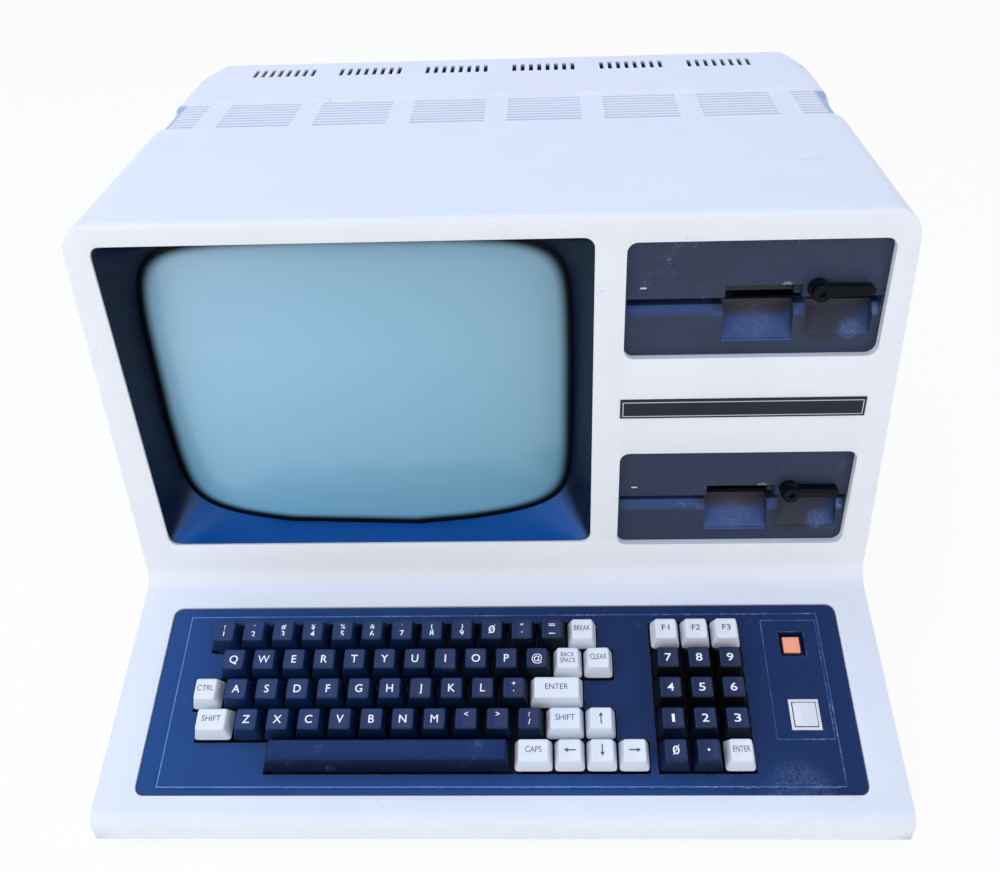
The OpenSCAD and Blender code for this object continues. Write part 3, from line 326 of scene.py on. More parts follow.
# From front to rear: the band of louvres, down to BAND_LOW on the sides, and the vents
BAND, BAND_LOW = (47.0 * MM, 105.0 * MM), 250 * MM
VENTS = (BAND[1] + 45 * MM, BAND[1] + 80 * MM)
# Painted shade colours of the louvre grooves and of the vents
GROOVE_SHADE, VENT_SHADE = "#A3BAE0", "#2C4C82"
# The rounded brow over the face: its depth, its rear end and the least run of its edges
BROW_R, BROW_REAR, BROW_RUN = 6 * MM, -80 * MM, 20 * MM
# The recess of the name strip on the face: its left limit, bottom and top
STRIP_EDGE, STRIP_LOW, STRIP_HIGH = 70 * MM, 80 * MM, 115 * MM
NEAR = 0.06 * MM


def case_edges(a, b):
    """Share of the full edge radius for an edge from a to b: all of it where the outer walls
    meet, less round the openings of the face and deck, none in louvres, vents and ribs."""
    def both(test):
        return test(a) and test(b)

    def from_side(p):
        return abs(abs(p.x) - HALF_W + (p.z - FLOOR_GAP) * math.tan(SIDE_DRAFT))

    if BAND[0] < (a.y + b.y) / 2 < BAND[1] and a.z > BAND_LOW:
        return 0.0
    if both(lambda p: p.z > TOP_Z - BROW_R and p.y < BROW_REAR) and abs(a.x - b.x) > BROW_RUN:
        return None
    if both(lambda p: from_side(p) < NEAR):
        return 1.0
    if both(lambda p: abs((Vector((abs(p.x), p.y, p.z)) - HIP_FOOT).dot(HIP_OUT)) < NEAR):
        return 1.0
    if both(lambda p: abs((p - FACE_FOOT).dot(FACE_OUT)) < NEAR):
        strip = STRIP_LOW < (a - FACE_FOOT).dot(FACE_UP) < STRIP_HIGH and a.x > STRIP_EDGE
        return 0.1 if strip else 0.3
    if both(lambda p: abs((p - DECK_FOOT).dot(DECK_OUT)) < NEAR):
        return 0.18
    return 0.0


def recess_shade(tree, place, out):
    """Paint shade into the louvre grooves and vents, darker by their depth under the outer form:
    the least distance from the planes of the top, the hip and the side, on the right-hand half."""
    mirrored = add(tree, "VectorMath", {0: place}, operation="ABSOLUTE").outputs[0]
    width = add(tree, "SeparateXYZ", {0: mirrored}).outputs[0]
    rear, height = add(tree, "SeparateXYZ", {0: place}).outputs[1:3]
    folded = add(tree, "CombineXYZ", {0: width, 1: rear, 2: height}).outputs[0]
    side_out = Vector((math.cos(SIDE_DRAFT), 0, math.sin(SIDE_DRAFT)))
    planes = ((Vector((0, 0, TOP_Z)), Vector((0, 0, 1))), (HIP_FOOT, HIP_OUT),
              (Vector((HALF_W, 0, FLOOR_GAP)), side_out))
    top, hip, side = [calc(tree, "SUBTRACT", foot.dot(axis), along(tree, folded, axis))
                      for foot, axis in planes]
    depth = calc(tree, "MINIMUM", calc(tree, "MINIMUM", top, hip), side)
    for (near, far), low, high, colour, most in ((BAND, 3.0 * MM, 4.0 * MM, GROOVE_SHADE, 0.9),
                                                 (VENTS, 0.5 * MM, 2.5 * MM, VENT_SHADE, 1.0)):
        share = ramp(tree, depth, low, high, end=most)
        share = calc(tree, "MULTIPLY", share, calc(tree, "GREATER_THAN", rear, near))
        share = calc(tree, "MULTIPLY", share, calc(tree, "LESS_THAN", rear, far))
        out = blend(tree, share, out, colour)
    return out


cabinet_abs = finish("painted_structural_foam", WHITE, 0.5, GRAIN, 0.05 * MM, 0.02, specks=0.12,
                     speck_colour="#9FA9BC", speck_size=1.6 * MM, lit_from_above=(WHITE_LIT, 0.3, 0.85),
                     after=recess_shade)
eased("top_case", 3.5 * MM, cabinet_abs, "cabinet", segments=3, share=case_edges,
      splits=[side * (HALF_W - inset * MM) for side in (-1, 1) for inset in (16, 30, 60)])
paint("base_pan", cabinet_abs)

# ---- Keyboard surround ------------------------------------------------------
# One navy blue ABS moulding let into the deck, with a plateau round the keys and a
# well for the reset button. Its rim is scuffed and dusty; its edges are pale partly with
# wear and partly with a painted highlight, and it is painted lighter to the left and along
# its lower edge as light from that side.
NAVY, NAVY_LIT, NAVY_DUST = "#0E2A58", "#1B4C8E", "#7F93BC"


def window_light(light, most):
    """A function that lightens plastic on the deck to the left and along its lower edge,
    where it faces the window, towards the colour light by at most the share most."""
    def lighten(tree, place, out):
        right, rear = add(tree, "SeparateXYZ", {0: place}).outputs[0:2]
        left = ramp(tree, right, 50 * MM, -220 * MM)
        low = calc(tree, "MULTIPLY", ramp(tree, rear, -215 * MM, -262 * MM),
                   ramp(tree, right, 200 * MM, 50 * MM))
        share = ramp(tree, calc(tree, "MAXIMUM", left, low), 0, 1, end=most)
        return blend(tree, share, out, light)
    return lighten


dusty_corner = DECK_FOOT + DECK_UP * 14 * MM + Vector((176, 0, 0)) * MM
# Pale edges: partly wear, partly painted highlight; NAVY_LIT: painted light to the left and below
navy_abs = finish("navy_moulded_abs", NAVY, 0.5, 0.6 * MM, 0.03 * MM, 0.10, specks=0.25,
                  speck_colour="#6F83AA", speck_size=0.9 * MM, worn_and_lit=("#A9BAE0", DECK_OUT),
                  gloss=0.16, flat=True, after=window_light(NAVY_LIT, 0.7),
                  spots=[(dusty_corner, 24 * MM, NAVY_DUST, 0.4, True)])
eased("keyboard_bezel", 0.6 * MM, navy_abs, "cabinet", soft=False)

# ---- Screen surround --------------------------------------------------------
# A funnel of the same navy ABS, from the round-cornered opening in the face down to the
# bowed outline of the tube. Its walls are painted darker than the surround as shade, and its
# lower slope, which faces up, is painted bright blue as light.
SCREEN_X, SCREEN_Y = -79.5 * MM, 103.2 * MM
OPENING_W, OPENING_H = 276.0 * MM, 204.0 * MM
LIP_W, LIP_H = 259.6 * MM, 203.0 * MM
FUNNEL_FRONT, FUNNEL_WALL, LIP_LIFT = 1.2 * MM, 2.0 * MM, 0.8 * MM
# The tube's face: depth of its middle, radius, place beside the opening's middle, outline
TUBE_APEX, TUBE_R = 11.0 * MM, 620.0 * MM
TUBE_SHIFT = (-1.9 * MM, 0.4 * MM)
TUBE_SQUARE, SIDE_BOW, TOP_BOW = 9, 0.02, 0.105


def on_face(x, y, out):
    """World points from face coordinates: x right, y up the face, out of the face."""
    x, y, out = np.broadcast_arrays(x, y, out)
    base = np.array(FACE_FOOT)
    return base + x[..., None] * np.array((1.0, 0, 0)) + y[..., None] * np.array(FACE_UP) \
        + out[..., None] * np.array(FACE_OUT)


def full_turn(count):
    """Angles evenly round a full turn, a little off the axes."""
    return np.linspace(0, 2 * np.pi, count, endpoint=False) + 0.001


def bowed(t, w, h, n):
    """Rectangle with bowed sides: |2x/w|^n + |2y/h|^n = 1, at the angles t."""
    c, s = np.cos(t), np.sin(t)
    return w / 2 * np.sign(c) * np.abs(c) ** (2 / n), h / 2 * np.sign(s) * np.abs(s) ** (2 / n)


def skin(name, points, material, cap=(False, False)):
    """Mesh object from a grid of points, rows by columns, with columns running round. A
    capped end is closed by one face over its first or last row."""
    rows, cols = points.shape[:2]
    index = np.arange(rows * cols).reshape(rows, cols)
    following = np.roll(index, -1, axis=1)
    quads = np.stack([index[:-1], following[:-1], following[1:], index[1:]], axis=-1)
    quads = quads.reshape(-1, 4).tolist()
    if cap[0]:
        quads.append(index[0][::-1].tolist())
    if cap[1]:
        quads.append(index[-1].tolist())
    mesh = bpy.data.meshes.new(name)
    mesh.from_pydata(points.reshape(-1, 3).tolist(), [], quads)
    mesh.polygons.foreach_set("use_smooth", np.ones(len(mesh.polygons), bool))
    mesh.materials.append(material)
    piece = bpy.data.objects.new(name, mesh)
    bpy.context.collection.objects.link(piece)
    return piece


def outward(piece):
    """Turn all faces of a closed mesh outwards."""
    shape = bmesh.new()
    shape.from_mesh(piece.data)
    bmesh.ops.remove_doubles(shape, verts=shape.verts, dist=0.001 * MM)
    bmesh.ops.recalc_face_normals(shape, faces=shape.faces)
    shape.to_mesh(piece.data)
    shape.free()
    return piece


def barrel(t, w, h):
    """The tube's outline: |X|^9 + |Y|^9 = 1, its sides bowed by x = X (1 - 0.02 Y^2) and its
    top and bottom by y = Y (1 - 0.105 X^2), about the tube's own middle."""
    x, y = bowed(t, 2, 2, TUBE_SQUARE)
    return (TUBE_SHIFT[0] + w / 2 * x * (1 - SIDE_BOW * y ** 2),
            TUBE_SHIFT[1] + h / 2 * y * (1 - TOP_BOW * x ** 2))


def glass_depth(x, y):
    """Depth of the spherical tube face behind the face plane."""
    x, y = x - TUBE_SHIFT[0], y - TUBE_SHIFT[1]
    return TUBE_APEX + TUBE_R - np.sqrt(TUBE_R ** 2 - x ** 2 - y ** 2)


def join(pieces, name):
    """Join meshes into the first and rename it."""
    bpy.ops.object.select_all(action="DESELECT")
    for piece in pieces:
        piece.select_set(True)
    bpy.context.view_layer.objects.active = pieces[0]
    if len(pieces) > 1:
        bpy.ops.object.join()
    pieces[0].name = name
    pieces[0].data.name = name
    return pieces[0]


def funnel():
    """Sections run from the opening's edge down to the tube's outline and back up outside:
    a share k moves each point from the one outline to the other, which lies on the glass."""
    t = full_turn(192)
    x0, y0 = bowed(t, OPENING_W, OPENING_H, 40)
    x1, y1 = barrel(t, LIP_W, LIP_H)
    end = glass_depth(x1, y1) - LIP_LIFT
    inside = [(k, 0, 0) for k in (0, 0.02, 0.25, 0.5, 0.75, 0.94, 0.985, 1.0)]
    outside = [(1.0, 0.3 * MM, 0.6 * MM), (0.9, FUNNEL_WALL, 0), (0.06, FUNNEL_WALL, 0)]
    rows = []
    for k, grow, back in inside + outside:
        x, y = x0 + (x1 - x0) * k, y0 + (y1 - y0) * k
        depth = FUNNEL_FRONT + (end - FUNNEL_FRONT) * k + back
        rows.append(on_face(SCREEN_X + x + grow * np.sign(x), SCREEN_Y + y + grow * np.sign(y),
                            -depth))
    rows.append(rows[0])
    return np.array(rows)


# Dark navy as painted shade, bright blue on faces that look up as painted light
screen_abs = finish("navy_screen_abs", "#071329", 0.36, 0.8 * MM, 0.03 * MM, 0.08, specks=0.12,
                    speck_colour="#4A5F8A", speck_size=1.2 * MM, lit_from_above=("#034B96", 0.3, 0.75),
                    gloss=0.25)
funnel_piece = outward(skin("screen_funnel", funnel(), screen_abs))
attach(funnel_piece, "cabinet")
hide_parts("screen_bezel")

# ---- Picture tube -----------------------------------------------------------
# A 12 inch tube of grey glass with a pale blue-green phosphor behind it. The face is
# part of a sphere and reaches under the funnel's lip; the cone and neck are coated black.
TUBE_W, TUBE_H = 250.0 * MM, 194.0 * MM
GLASS_W, GLASS_H = 260.6 * MM, 204.4 * MM
RIM_W, RIM_H = 258.6 * MM, 200.6 * MM
TUBE_BOW = 6.5
NECK_W, NECK_H = 29.0 * MM / TUBE_W, 29.0 * MM / TUBE_H
EDGE_DEEP = 7 * MM
# Depth behind the face plane in mm, shares of the tube's width and height, squareness
CONE = ((41, 1, 1, TUBE_BOW), (60, 0.93, 0.92, 5), (80, 0.8, 0.78, 3.5), (120, 0.42, 0.42, 2.3),
        (150, NECK_W, NECK_H, 2), (296, NECK_W, NECK_H, 2))
BEHIND_EDGE = 36 * MM


def tube_glass():
    """Face: outlines scaled by k lie on a sphere, depth = apex + R - sqrt(R^2 - x^2 - y^2).
    Its edge turns back over 7 mm, and the sections of CONE then shrink to the neck."""
    t = full_turn(160)
    rows = []
    for k in np.concatenate([np.linspace(0.001, 0.9, 14), np.linspace(0.92, 1.0, 8)]):
        round_x, round_y = bowed(t, GLASS_W * k, GLASS_H * k, 2)
        x, y = barrel(t, GLASS_W * k, GLASS_H * k)
        x, y = round_x + (x - round_x) * k, round_y + (y - round_y) * k
        rows.append(on_face(SCREEN_X + x, SCREEN_Y + y, -glass_depth(x, y)))
    wide_x, wide_y = bowed(t, TUBE_W, TUBE_H, TUBE_BOW)
    for back in (0.3, 0.7, 1.0):
        ex, ey = x + (wide_x - x) * back ** 2, y + (wide_y - y) * back ** 2
        rows.append(on_face(SCREEN_X + ex, SCREEN_Y + ey, -glass_depth(x, y) - EDGE_DEEP * back))
    for depth, w, h, n in CONE:
        x, y = bowed(t, TUBE_W * w, TUBE_H * h, n)
        rows.append(on_face(SCREEN_X + x, SCREEN_Y + y, -depth * MM))
    return np.array(rows)


def mark_rim(piece):
    """Store |X|^9 + |Y|^9 at each vertex, with the outline's bow taken out: 1 where the lip of
    the funnel covers the face and over the whole cone, near 0 within the face."""
    points = np.empty(len(piece.data.vertices) * 3)
    piece.data.vertices.foreach_get("co", points)
    points = points.reshape(-1, 3) - np.array(FACE_FOOT)
    x = (points[:, 0] - SCREEN_X - TUBE_SHIFT[0]) * 2 / RIM_W
    y = (points @ np.array(FACE_UP) - SCREEN_Y - TUBE_SHIFT[1]) * 2 / RIM_H
    rim = np.abs(x / (1 - SIDE_BOW * y ** 2)) ** TUBE_SQUARE \
        + np.abs(y / (1 - TOP_BOW * x ** 2)) ** TUBE_SQUARE
    rim[points @ np.array(FACE_OUT) < -BEHIND_EDGE] = 1
    piece.data.attributes.new("rim", "FLOAT", "POINT").data.foreach_set("value", rim)


def phosphor_glass():
    """Glass over phosphor: one pale blue-green layer, painted lighter towards the top and darker
    to the right as a painted reflection of the bright room, that darkens into a soft black band
    along its outline, partly the glass's own dark edge and partly painted shade under the
    funnel's lip, under a very smooth clear coat."""
    made = bpy.data.materials.new("grey_glass_over_phosphor")
    made.use_nodes = True
    tree = made.node_tree
    shader = tree.nodes["Principled BSDF"]
    shader.inputs["Roughness"].default_value = 0.32
    shader.inputs["Coat Roughness"].default_value = 0.06
    right, _, height = add(tree, "SeparateXYZ", {0: add(tree, "TexCoord").outputs["Object"]}).outputs
    # Painted reflection: lighter towards the top, darker to the right
    tone = add(tree, "ValToRGB", {0: ramp(tree, height, 110 * MM, 310 * MM)})
    tone.color_ramp.elements[0].color = linear("#76B0CA")
    tone.color_ramp.elements[1].color = linear("#8CB7D0")
    tone.color_ramp.elements.new(0.6).color = linear("#90BCD5")
    right_shade = ramp(tree, right, -170 * MM, 50 * MM, end=0.55)
    tone = blend(tree, right_shade, tone.outputs[0], "#6C9EB0")
    rim = add(tree, "Attribute", attribute_name="rim").outputs["Fac"]
    # The black band at the rim: partly the glass's dark edge, partly painted shade under the lip
    band = ramp(tree, rim, 0.5, 0.9, kind="SMOOTHSTEP")
    tree.links.new(blend(tree, band, tone, "#0C1119"), shader.inputs["Base Color"])
    tree.links.new(ramp(tree, rim, 0.45, 0.8, 0.5, 0.0), shader.inputs["Coat Weight"])
    tree.links.new(ramp(tree, rim, 0.5, 0.9, 0.5, 0.05), shader.inputs["Specular IOR Level"])
    return made


tube = outward(skin("picture_tube", tube_glass(), phosphor_glass(), cap=(True, True)))
mark_rim(tube)
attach(tube, "cabinet")
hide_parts("crt_tube")

# ---- Tube band --------------------------------------------------------------
# A blackened steel band shrunk on round the edge of the glass, with a lug at each corner
# to fix the tube by. It lies in the shade behind the funnel's lip, and its near black is
# partly painted shade there.
BAND_THICK, BAND_WIDE, BAND_BACK = 1.6 * MM, 20.0 * MM, 3.0 * MM
LUG, LUG_X, LUG_Y, LUG_DEPTHS = 12.0 * MM, 121 * MM, 89 * MM, (38 * MM, 40 * MM)


def tube_band():
    """A flat strip bent along the tube's outline: four edges swept round it."""
    t = full_turn(160)
    x, y = barrel(t, GLASS_W, GLASS_H)
    front = glass_depth(x, y) + BAND_BACK
    edges = [(0.1 * MM, 0), (BAND_THICK, 0), (BAND_THICK, BAND_WIDE), (0.1 * MM, BAND_WIDE)]
    rows = [on_face(SCREEN_X + x + grow * np.cos(t), SCREEN_Y + y + grow * np.sin(t), -front - back)
            for grow, back in edges]
    return np.array(rows + rows[:1])


band_steel_and_shade = finish("blackened_steel_band_and_shade", "#08090C", 0.7, 0.5 * MM, 0.01 * MM, 0.05, gloss=0.1)
band_parts = [outward(skin("tube_band", tube_band(), band_steel_and_shade))]
for side_x, side_y in ((-1, -1), (1, -1), (1, 1), (-1, 1)):
    lug_x = SCREEN_X + side_x * (LUG_X + np.array([-LUG, LUG, LUG, -LUG]) / 2)
    lug_y = SCREEN_Y + side_y * (LUG_Y + np.array([-LUG, -LUG, LUG, LUG]) / 2)
    lug = np.array([on_face(lug_x, lug_y, -depth) for depth in LUG_DEPTHS])
    band_parts.append(outward(skin("band_lug", lug, band_steel_and_shade, cap=(True, True))))
band_ring = join(band_parts, "tube_band")
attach(band_ring, "cabinet")
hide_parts("crt_band")

# ---- Key caps ---------------------------------------------------------------
# Two-shot ABS caps with steep fronts and tops dished across, pressed on their switches'
# stems. Columns and rows count in key pitches from the middle of the first top key.
ROW_MID = 75.0 * MM
PITCH_U = 19.05 * MM
KEY_X0 = -176.3 * MM
PAD, SPACE_COL, SPACE_WIDE = 14.76, 5.79, 7.8
CAP_GAP = 0.6 * MM
CAP_FOOT, CAP_TOP = 2.3 * MM, 12.3 * MM
CAP_SIDE, CAP_FRONT, CAP_BACK = 2.6 * MM, 3.5 * MM, 1.7 * MM
CAP_EDGE, CAP_SQUARE = 0.9 * MM, 9
DISH, ARCH_RISE, ARCH_DROP = 0.7 * MM, 0.9 * MM, 0.5 * MM


def on_deck(x, s, out):
    """World points from deck coordinates: x right, s up the slope, out of the deck."""
    x, s, out = np.broadcast_arrays(x, s, out)
    base = np.array(DECK_FOOT)
    return base + x[..., None] * np.array((1.0, 0, 0)) + s[..., None] * np.array(DECK_UP) \
        + out[..., None] * np.array(DECK_OUT)


def key_place(col, row):
    """Middle of a key in deck coordinates."""
    return KEY_X0 + col * PITCH_U, ROW_MID + (2 - row) * PITCH_U


def top_height(x, half, rounded=False):
    """Height of a cap's top at x from its middle: a shallow dish across, or even."""
    dish = 0 if rounded else DISH
    return CAP_TOP - dish * (1 - np.clip(np.abs(x) / (half - CAP_SIDE), 0, 1) ** 2)


def cap_rows(col, row, width, rounded=False):
    """Outlines from the foot up the tapered walls, over an edge of CAP_EDGE radius and in to
    the middle; each is a rounded rectangle |x/a|^n + |y/b|^n = 1, squarer at the foot. A
    rounded cap has its top arched from front to back."""
    cx, cs = key_place(col, row)
    half = width * PITCH_U / 2 - CAP_GAP
    foot = PITCH_U / 2 - CAP_GAP
    t = np.linspace(0, 2 * np.pi, 48, endpoint=False) + np.pi / 48
    rise = CAP_TOP - CAP_EDGE - CAP_FOOT
    steps = [(0, 0, 0), (rise * 0.5, 0, 0), (rise * 0.93, 0, 0)]
    steps += [(rise + CAP_EDGE * math.sin(a), CAP_EDGE * (1 - math.cos(a)), 0)
              for a in np.radians([0, 25, 50, 75])]
    steps += [(rise + CAP_EDGE, CAP_EDGE, shrink) for shrink in (0, 0.15, 0.4, 0.7, 0.97)]
    rows = []
    for up, inset, shrink in steps:
        share = min(up / (CAP_TOP - CAP_FOOT), 1)
        a = (half - CAP_SIDE * share - inset) * (1 - shrink)
        b = (foot - (CAP_FRONT + CAP_BACK) / 2 * share - inset) * (1 - shrink)
        mid = (CAP_FRONT - CAP_BACK) / 2 * share
        n = CAP_SQUARE * half / foot * (1 - 0.6 * shrink)
        x, y = bowed(t, 2 * a, 2 * b, n)
        z = CAP_FOOT + (top_height(x, half, rounded) - CAP_FOOT) * share
        if rounded:
            z = z + ARCH_RISE * share * (1 - (y / foot) ** 2) - ARCH_DROP * share
        rows.append(on_deck(cx + x, cs + mid + y, z))
    return np.array(rows)


def caps(name, keys, material, body, rounded=False):
    """One mesh of all the caps of a body: keys lists (column, row, width)."""
    made = []
    for number, (col, row, width) in enumerate(keys):
        cap = skin(f"{name}_{number}", cap_rows(col, row, width, rounded), material, cap=(False, True))
        made.append(outward(cap))
    joined = join(made, name)
    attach(joined, body)
    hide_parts(body)


# Navy caps painted near black on their walls as shade and blue on their tops as light from above
key_navy = finish("navy_key_abs", "#05080F", 0.38, 0.35 * MM, 0.015 * MM, 0.10, specks=0.12,
                  speck_colour="#8FA0C4", speck_size=0.5 * MM, lit_from_above=("#0B2149", 0.4, 0.95), gloss=0.25,
                  after=window_light("#143A74", 0.55))
key_white = finish("white_key_abs", "#DDE3EC", 0.36, 0.35 * MM, 0.015 * MM, 0.02, specks=0.1,
                   speck_colour="#8C97AC", speck_size=0.6 * MM)
# The space bar likewise: dark walls as painted shade, a blue top as painted light
bar_navy = finish("navy_space_bar_abs", "#07142F", 0.34, 0.5 * MM, 0.01 * MM, 0.08, specks=0.15,
                  speck_colour="#8FA0C4", speck_size=0.5 * MM, lit_from_above=("#08295A", 0.6, 0.95), gloss=0.12)
legend_white = finish("white_second_shot", "#F2F5FA", 0.4, 0.4 * MM, 0.005 * MM, 0.01)
legend_navy = finish("navy_second_shot", "#2A3244", 0.4, 0.4 * MM, 0.005 * MM, 0.01)

RUNS = {"number_row_keys": (0, 0, ["!1", "\"2", "#3", "$4", "%5", "&6", "'7", "(8", ")9", "0",
                                   "*:", "=-"]),
        "upper_row_keys": (1, 0.5, list("QWERTYUIOP@")),
        "home_row_keys": (2, 0.75, list("ASDFGHJKL") + ["+;"]),
        "lower_row_keys": (3, 1.25, list("ZXCVBNM") + ["<,", ">.", "?/"])}
PAD_KEYS = {(0, 1): "7", (1, 1): "8", (2, 1): "9", (0, 2): "4", (1, 2): "5", (2, 2): "6",
            (0, 3): "1", (1, 3): "2", (2, 3): "3", (0, 4): "0", (1, 4): "."}
WHITE_KEYS = {"break_key": (12, 0, 1, "BREAK"), "backspace_key": (11.5, 1, 1, "BACK SPACE"),
              "clear_key": (12.5, 1, 1, "CLEAR"), "control_key": (-0.25, 2, 1, "CTRL"),
              "enter_key": (11.125, 2, 1.75, "ENTER"), "shift_key_left": (0.125, 3, 1.25, "SHIFT"),
              "shift_key_right": (11.375, 3, 1.25, "SHIFT"), "up_key": (12.5, 3, 1, "up"),
              "caps_key": (10.375, 4, 1.25, "CAPS"), "left_key": (11.5, 4, 1, "left"),
              "down_key": (12.5, 4, 1, "down"), "right_key": (13.5, 4, 1, "right"),
              "f1_key": (PAD, 0, 1, "F1"), "f2_key": (PAD + 1, 0, 1, "F2"),
              "f3_key": (PAD + 2, 0, 1, "F3"), "pad_enter_key": (PAD + 2, 4, 1, "ENTER")}

for body, (row, first, marks) in RUNS.items():
    caps(body + "_caps", [(first + i, row, 1) for i in range(len(marks))], key_navy, body)
caps("number_pad_caps", [(PAD + c, r, 1) for c, r in PAD_KEYS], key_navy, "number_pad_keys")
for body, (col, row, width, mark) in WHITE_KEYS.items():
    caps(body + "_cap", [(col, row, width)], key_white, body)
caps("space_bar_cap", [(SPACE_COL, 4, SPACE_WIDE)], bar_navy, "space_bar", rounded=True)

# ---- Key legends ------------------------------------------------------------
# The second shot of each cap, white on navy keys and navy on white ones: plain sans
# letters, digits and arrows, a twentieth of a millimetre proud so that they show.
LEGEND_LIFT = 0.05 * MM
TOP_MID = (CAP_FRONT - CAP_BACK) / 2
# Height and middle of a capital in the font's unit
CAPITAL, CAPITAL_MID = 0.73, 0.365
THICKENED, TOO_FINE = 0.008, "MW?&%@"
LETTER, DIGIT_W, ONE_W, WORD = 5.1 * MM, 4.0 * MM, 1.7 * MM, 3.7 * MM
WORD_WIDTHS = {"F1": 4.8, "F2": 5.2, "F3": 5.2, "SHIFT": 11.6, "CAPS": 9.6}
SHORT_WORD, LONG_WORD, WORD_UP = 10.2, 14.0, 0.6 * MM


def flat_text(mark, height, width=None):
    """Vertices and faces of a word, its capitals height tall, centred, squeezed to width.
    Marks of one or two letters are thickened, unless they are too finely drawn for it."""
    curve = bpy.data.curves.new("word", "FONT")
    curve.body = mark
    curve.size = 1.0
    curve.offset = THICKENED if len(mark) < 3 and mark not in TOO_FINE else 0.0
    curve.resolution_u = 4
    source = bpy.data.objects.new("word", curve)
    bpy.context.collection.objects.link(source)
    bpy.context.view_layer.update()
    drawn = source.evaluated_get(bpy.context.evaluated_depsgraph_get())
    mesh = bpy.data.meshes.new_from_object(drawn)
    points = np.empty(len(mesh.vertices) * 3)
    mesh.vertices.foreach_get("co", points)
    points = points.reshape(-1, 3)[:, :2]
    faces = [list(p.vertices) for p in mesh.polygons]
    bpy.data.objects.remove(source)
    bpy.data.meshes.remove(mesh)
    bpy.data.curves.remove(curve)
    low, high = points.min(0), points.max(0)
    points = (points - [(low[0] + high[0]) / 2, CAPITAL_MID]) * height / CAPITAL
    if width:
        points[:, 0] *= width / (points[:, 0].max() - points[:, 0].min())
    return points, faces


def arrow(way):
    """A slim shaft with a barbed head, 7 mm long, pointing the given way."""
    tip, half, head, barb = 3.5 * MM, 0.35 * MM, 2.6 * MM, 1.5 * MM
    neck = tip - head * 0.8
    points = np.array([(-tip, -half), (neck, -half), (tip - head, -barb), (tip, 0), (tip - head, barb),
                       (neck, half), (-tip, half)])
    faces = [[0, 1, 5, 6], [1, 3, 5], [1, 2, 3], [3, 4, 5]]
    angle = math.radians({"right": 0, "up": 90, "left": 180, "down": 270}[way])
    c, s = math.cos(angle), math.sin(angle)
    return points @ np.array([[c, s], [-s, c]]), faces


def marks_of(mark, width):
    """The pieces of one key's legend: (points, faces, up) with up its place on the top."""
    if mark in ("up", "down", "left", "right"):
        return [(*arrow(mark), 0.0)]
    if mark == "BACK SPACE":
        return [(*flat_text("BACK", 3.1 * MM, 8.4 * MM), 2.1 * MM),
                (*flat_text("SPACE", 3.1 * MM, 9.6 * MM), -1.8 * MM)]
    if len(mark) > 2 or mark in WORD_WIDTHS:
        wide = WORD_WIDTHS.get(mark, LONG_WORD if width > 1.5 else SHORT_WORD)
        return [(*flat_text(mark, WORD, wide * MM), WORD_UP)]
    if len(mark) == 2:
        wide = DIGIT_W if mark == "=-" else None
        return [(*flat_text(mark[0], 3.6 * MM, wide), 2.7 * MM),
                (*flat_text(mark[1], 4.1 * MM, wide), -2.3 * MM)]
    if mark == "0":
        slash = np.array([(-2.1, -2.8), (-1.7, -3.0), (2.1, 2.8), (1.7, 3.0)]) * MM
        return [(*flat_text("0", 5.2 * MM, 3.9 * MM), 0.0), (slash, [[0, 1, 2, 3]], 0.0)]
    if mark == ".":
        t = np.linspace(0, 2 * np.pi, 16, endpoint=False)
        return [(np.stack([np.cos(t), np.sin(t)], -1) * 0.75 * MM, [list(range(16))], 0.0)]
    wide = None
    if mark.isdigit():
        wide = ONE_W if mark == "1" else DIGIT_W
    return [(*flat_text(mark, LETTER, wide), 0.0)]


def legends(name, keys, material, body):
    """One mesh of all the legends of a body: keys lists (column, row, width, mark)."""
    points, faces = [], []
    for col, row, width, mark in keys:
        cx, cs = key_place(col, row)
        half = width * PITCH_U / 2 - CAP_GAP
        for flat, ring, up in marks_of(mark, width):
            start = sum(len(p) for p in points)
            x, y = flat[:, 0], flat[:, 1] + up
            points.append(on_deck(cx + x, cs + TOP_MID + y, top_height(x, half) + LEGEND_LIFT))
            faces += [[start + i for i in face] for face in ring]
    mesh = bpy.data.meshes.new(name)
    mesh.from_pydata(np.concatenate(points).tolist(), [], faces)
    mesh.materials.append(material)
    piece = bpy.data.objects.new(name, mesh)
    bpy.context.collection.objects.link(piece)
    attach(piece, body)


for body, (row, first, marks) in RUNS.items():
    legends(body + "_marks", [(first + i, row, 1, mark) for i, mark in enumerate(marks)],
            legend_white, body)
legends("number_pad_marks", [(PAD + c, r, 1, mark) for (c, r), mark in PAD_KEYS.items()], legend_white,
        "number_pad_keys")
for body, (col, row, width, mark) in WHITE_KEYS.items():
    legends(body + "_mark", [(col, row, width, mark)], legend_navy, body)

# ---- Switches and reset button ----------------------------------------------
# Black switch housings on a dusty board show in the wells between the keys. The reset
# button is a plain cap of orange ABS that slides in a well of its own.
well_black = finish("dusty_black_housings", "#0B0D12", 0.55, 0.8 * MM, 0.03 * MM, 0.2, specks=0.45,
                    speck_colour="#A9B4CC", speck_size=0.9 * MM)
paint("key_switch_board", well_black)
orange_abs = finish("orange_abs", "#FBA482", 0.42, 0.4 * MM, 0.02 * MM, 0.05)
eased("reset_button", 0.5 * MM, orange_abs, "reset_button")

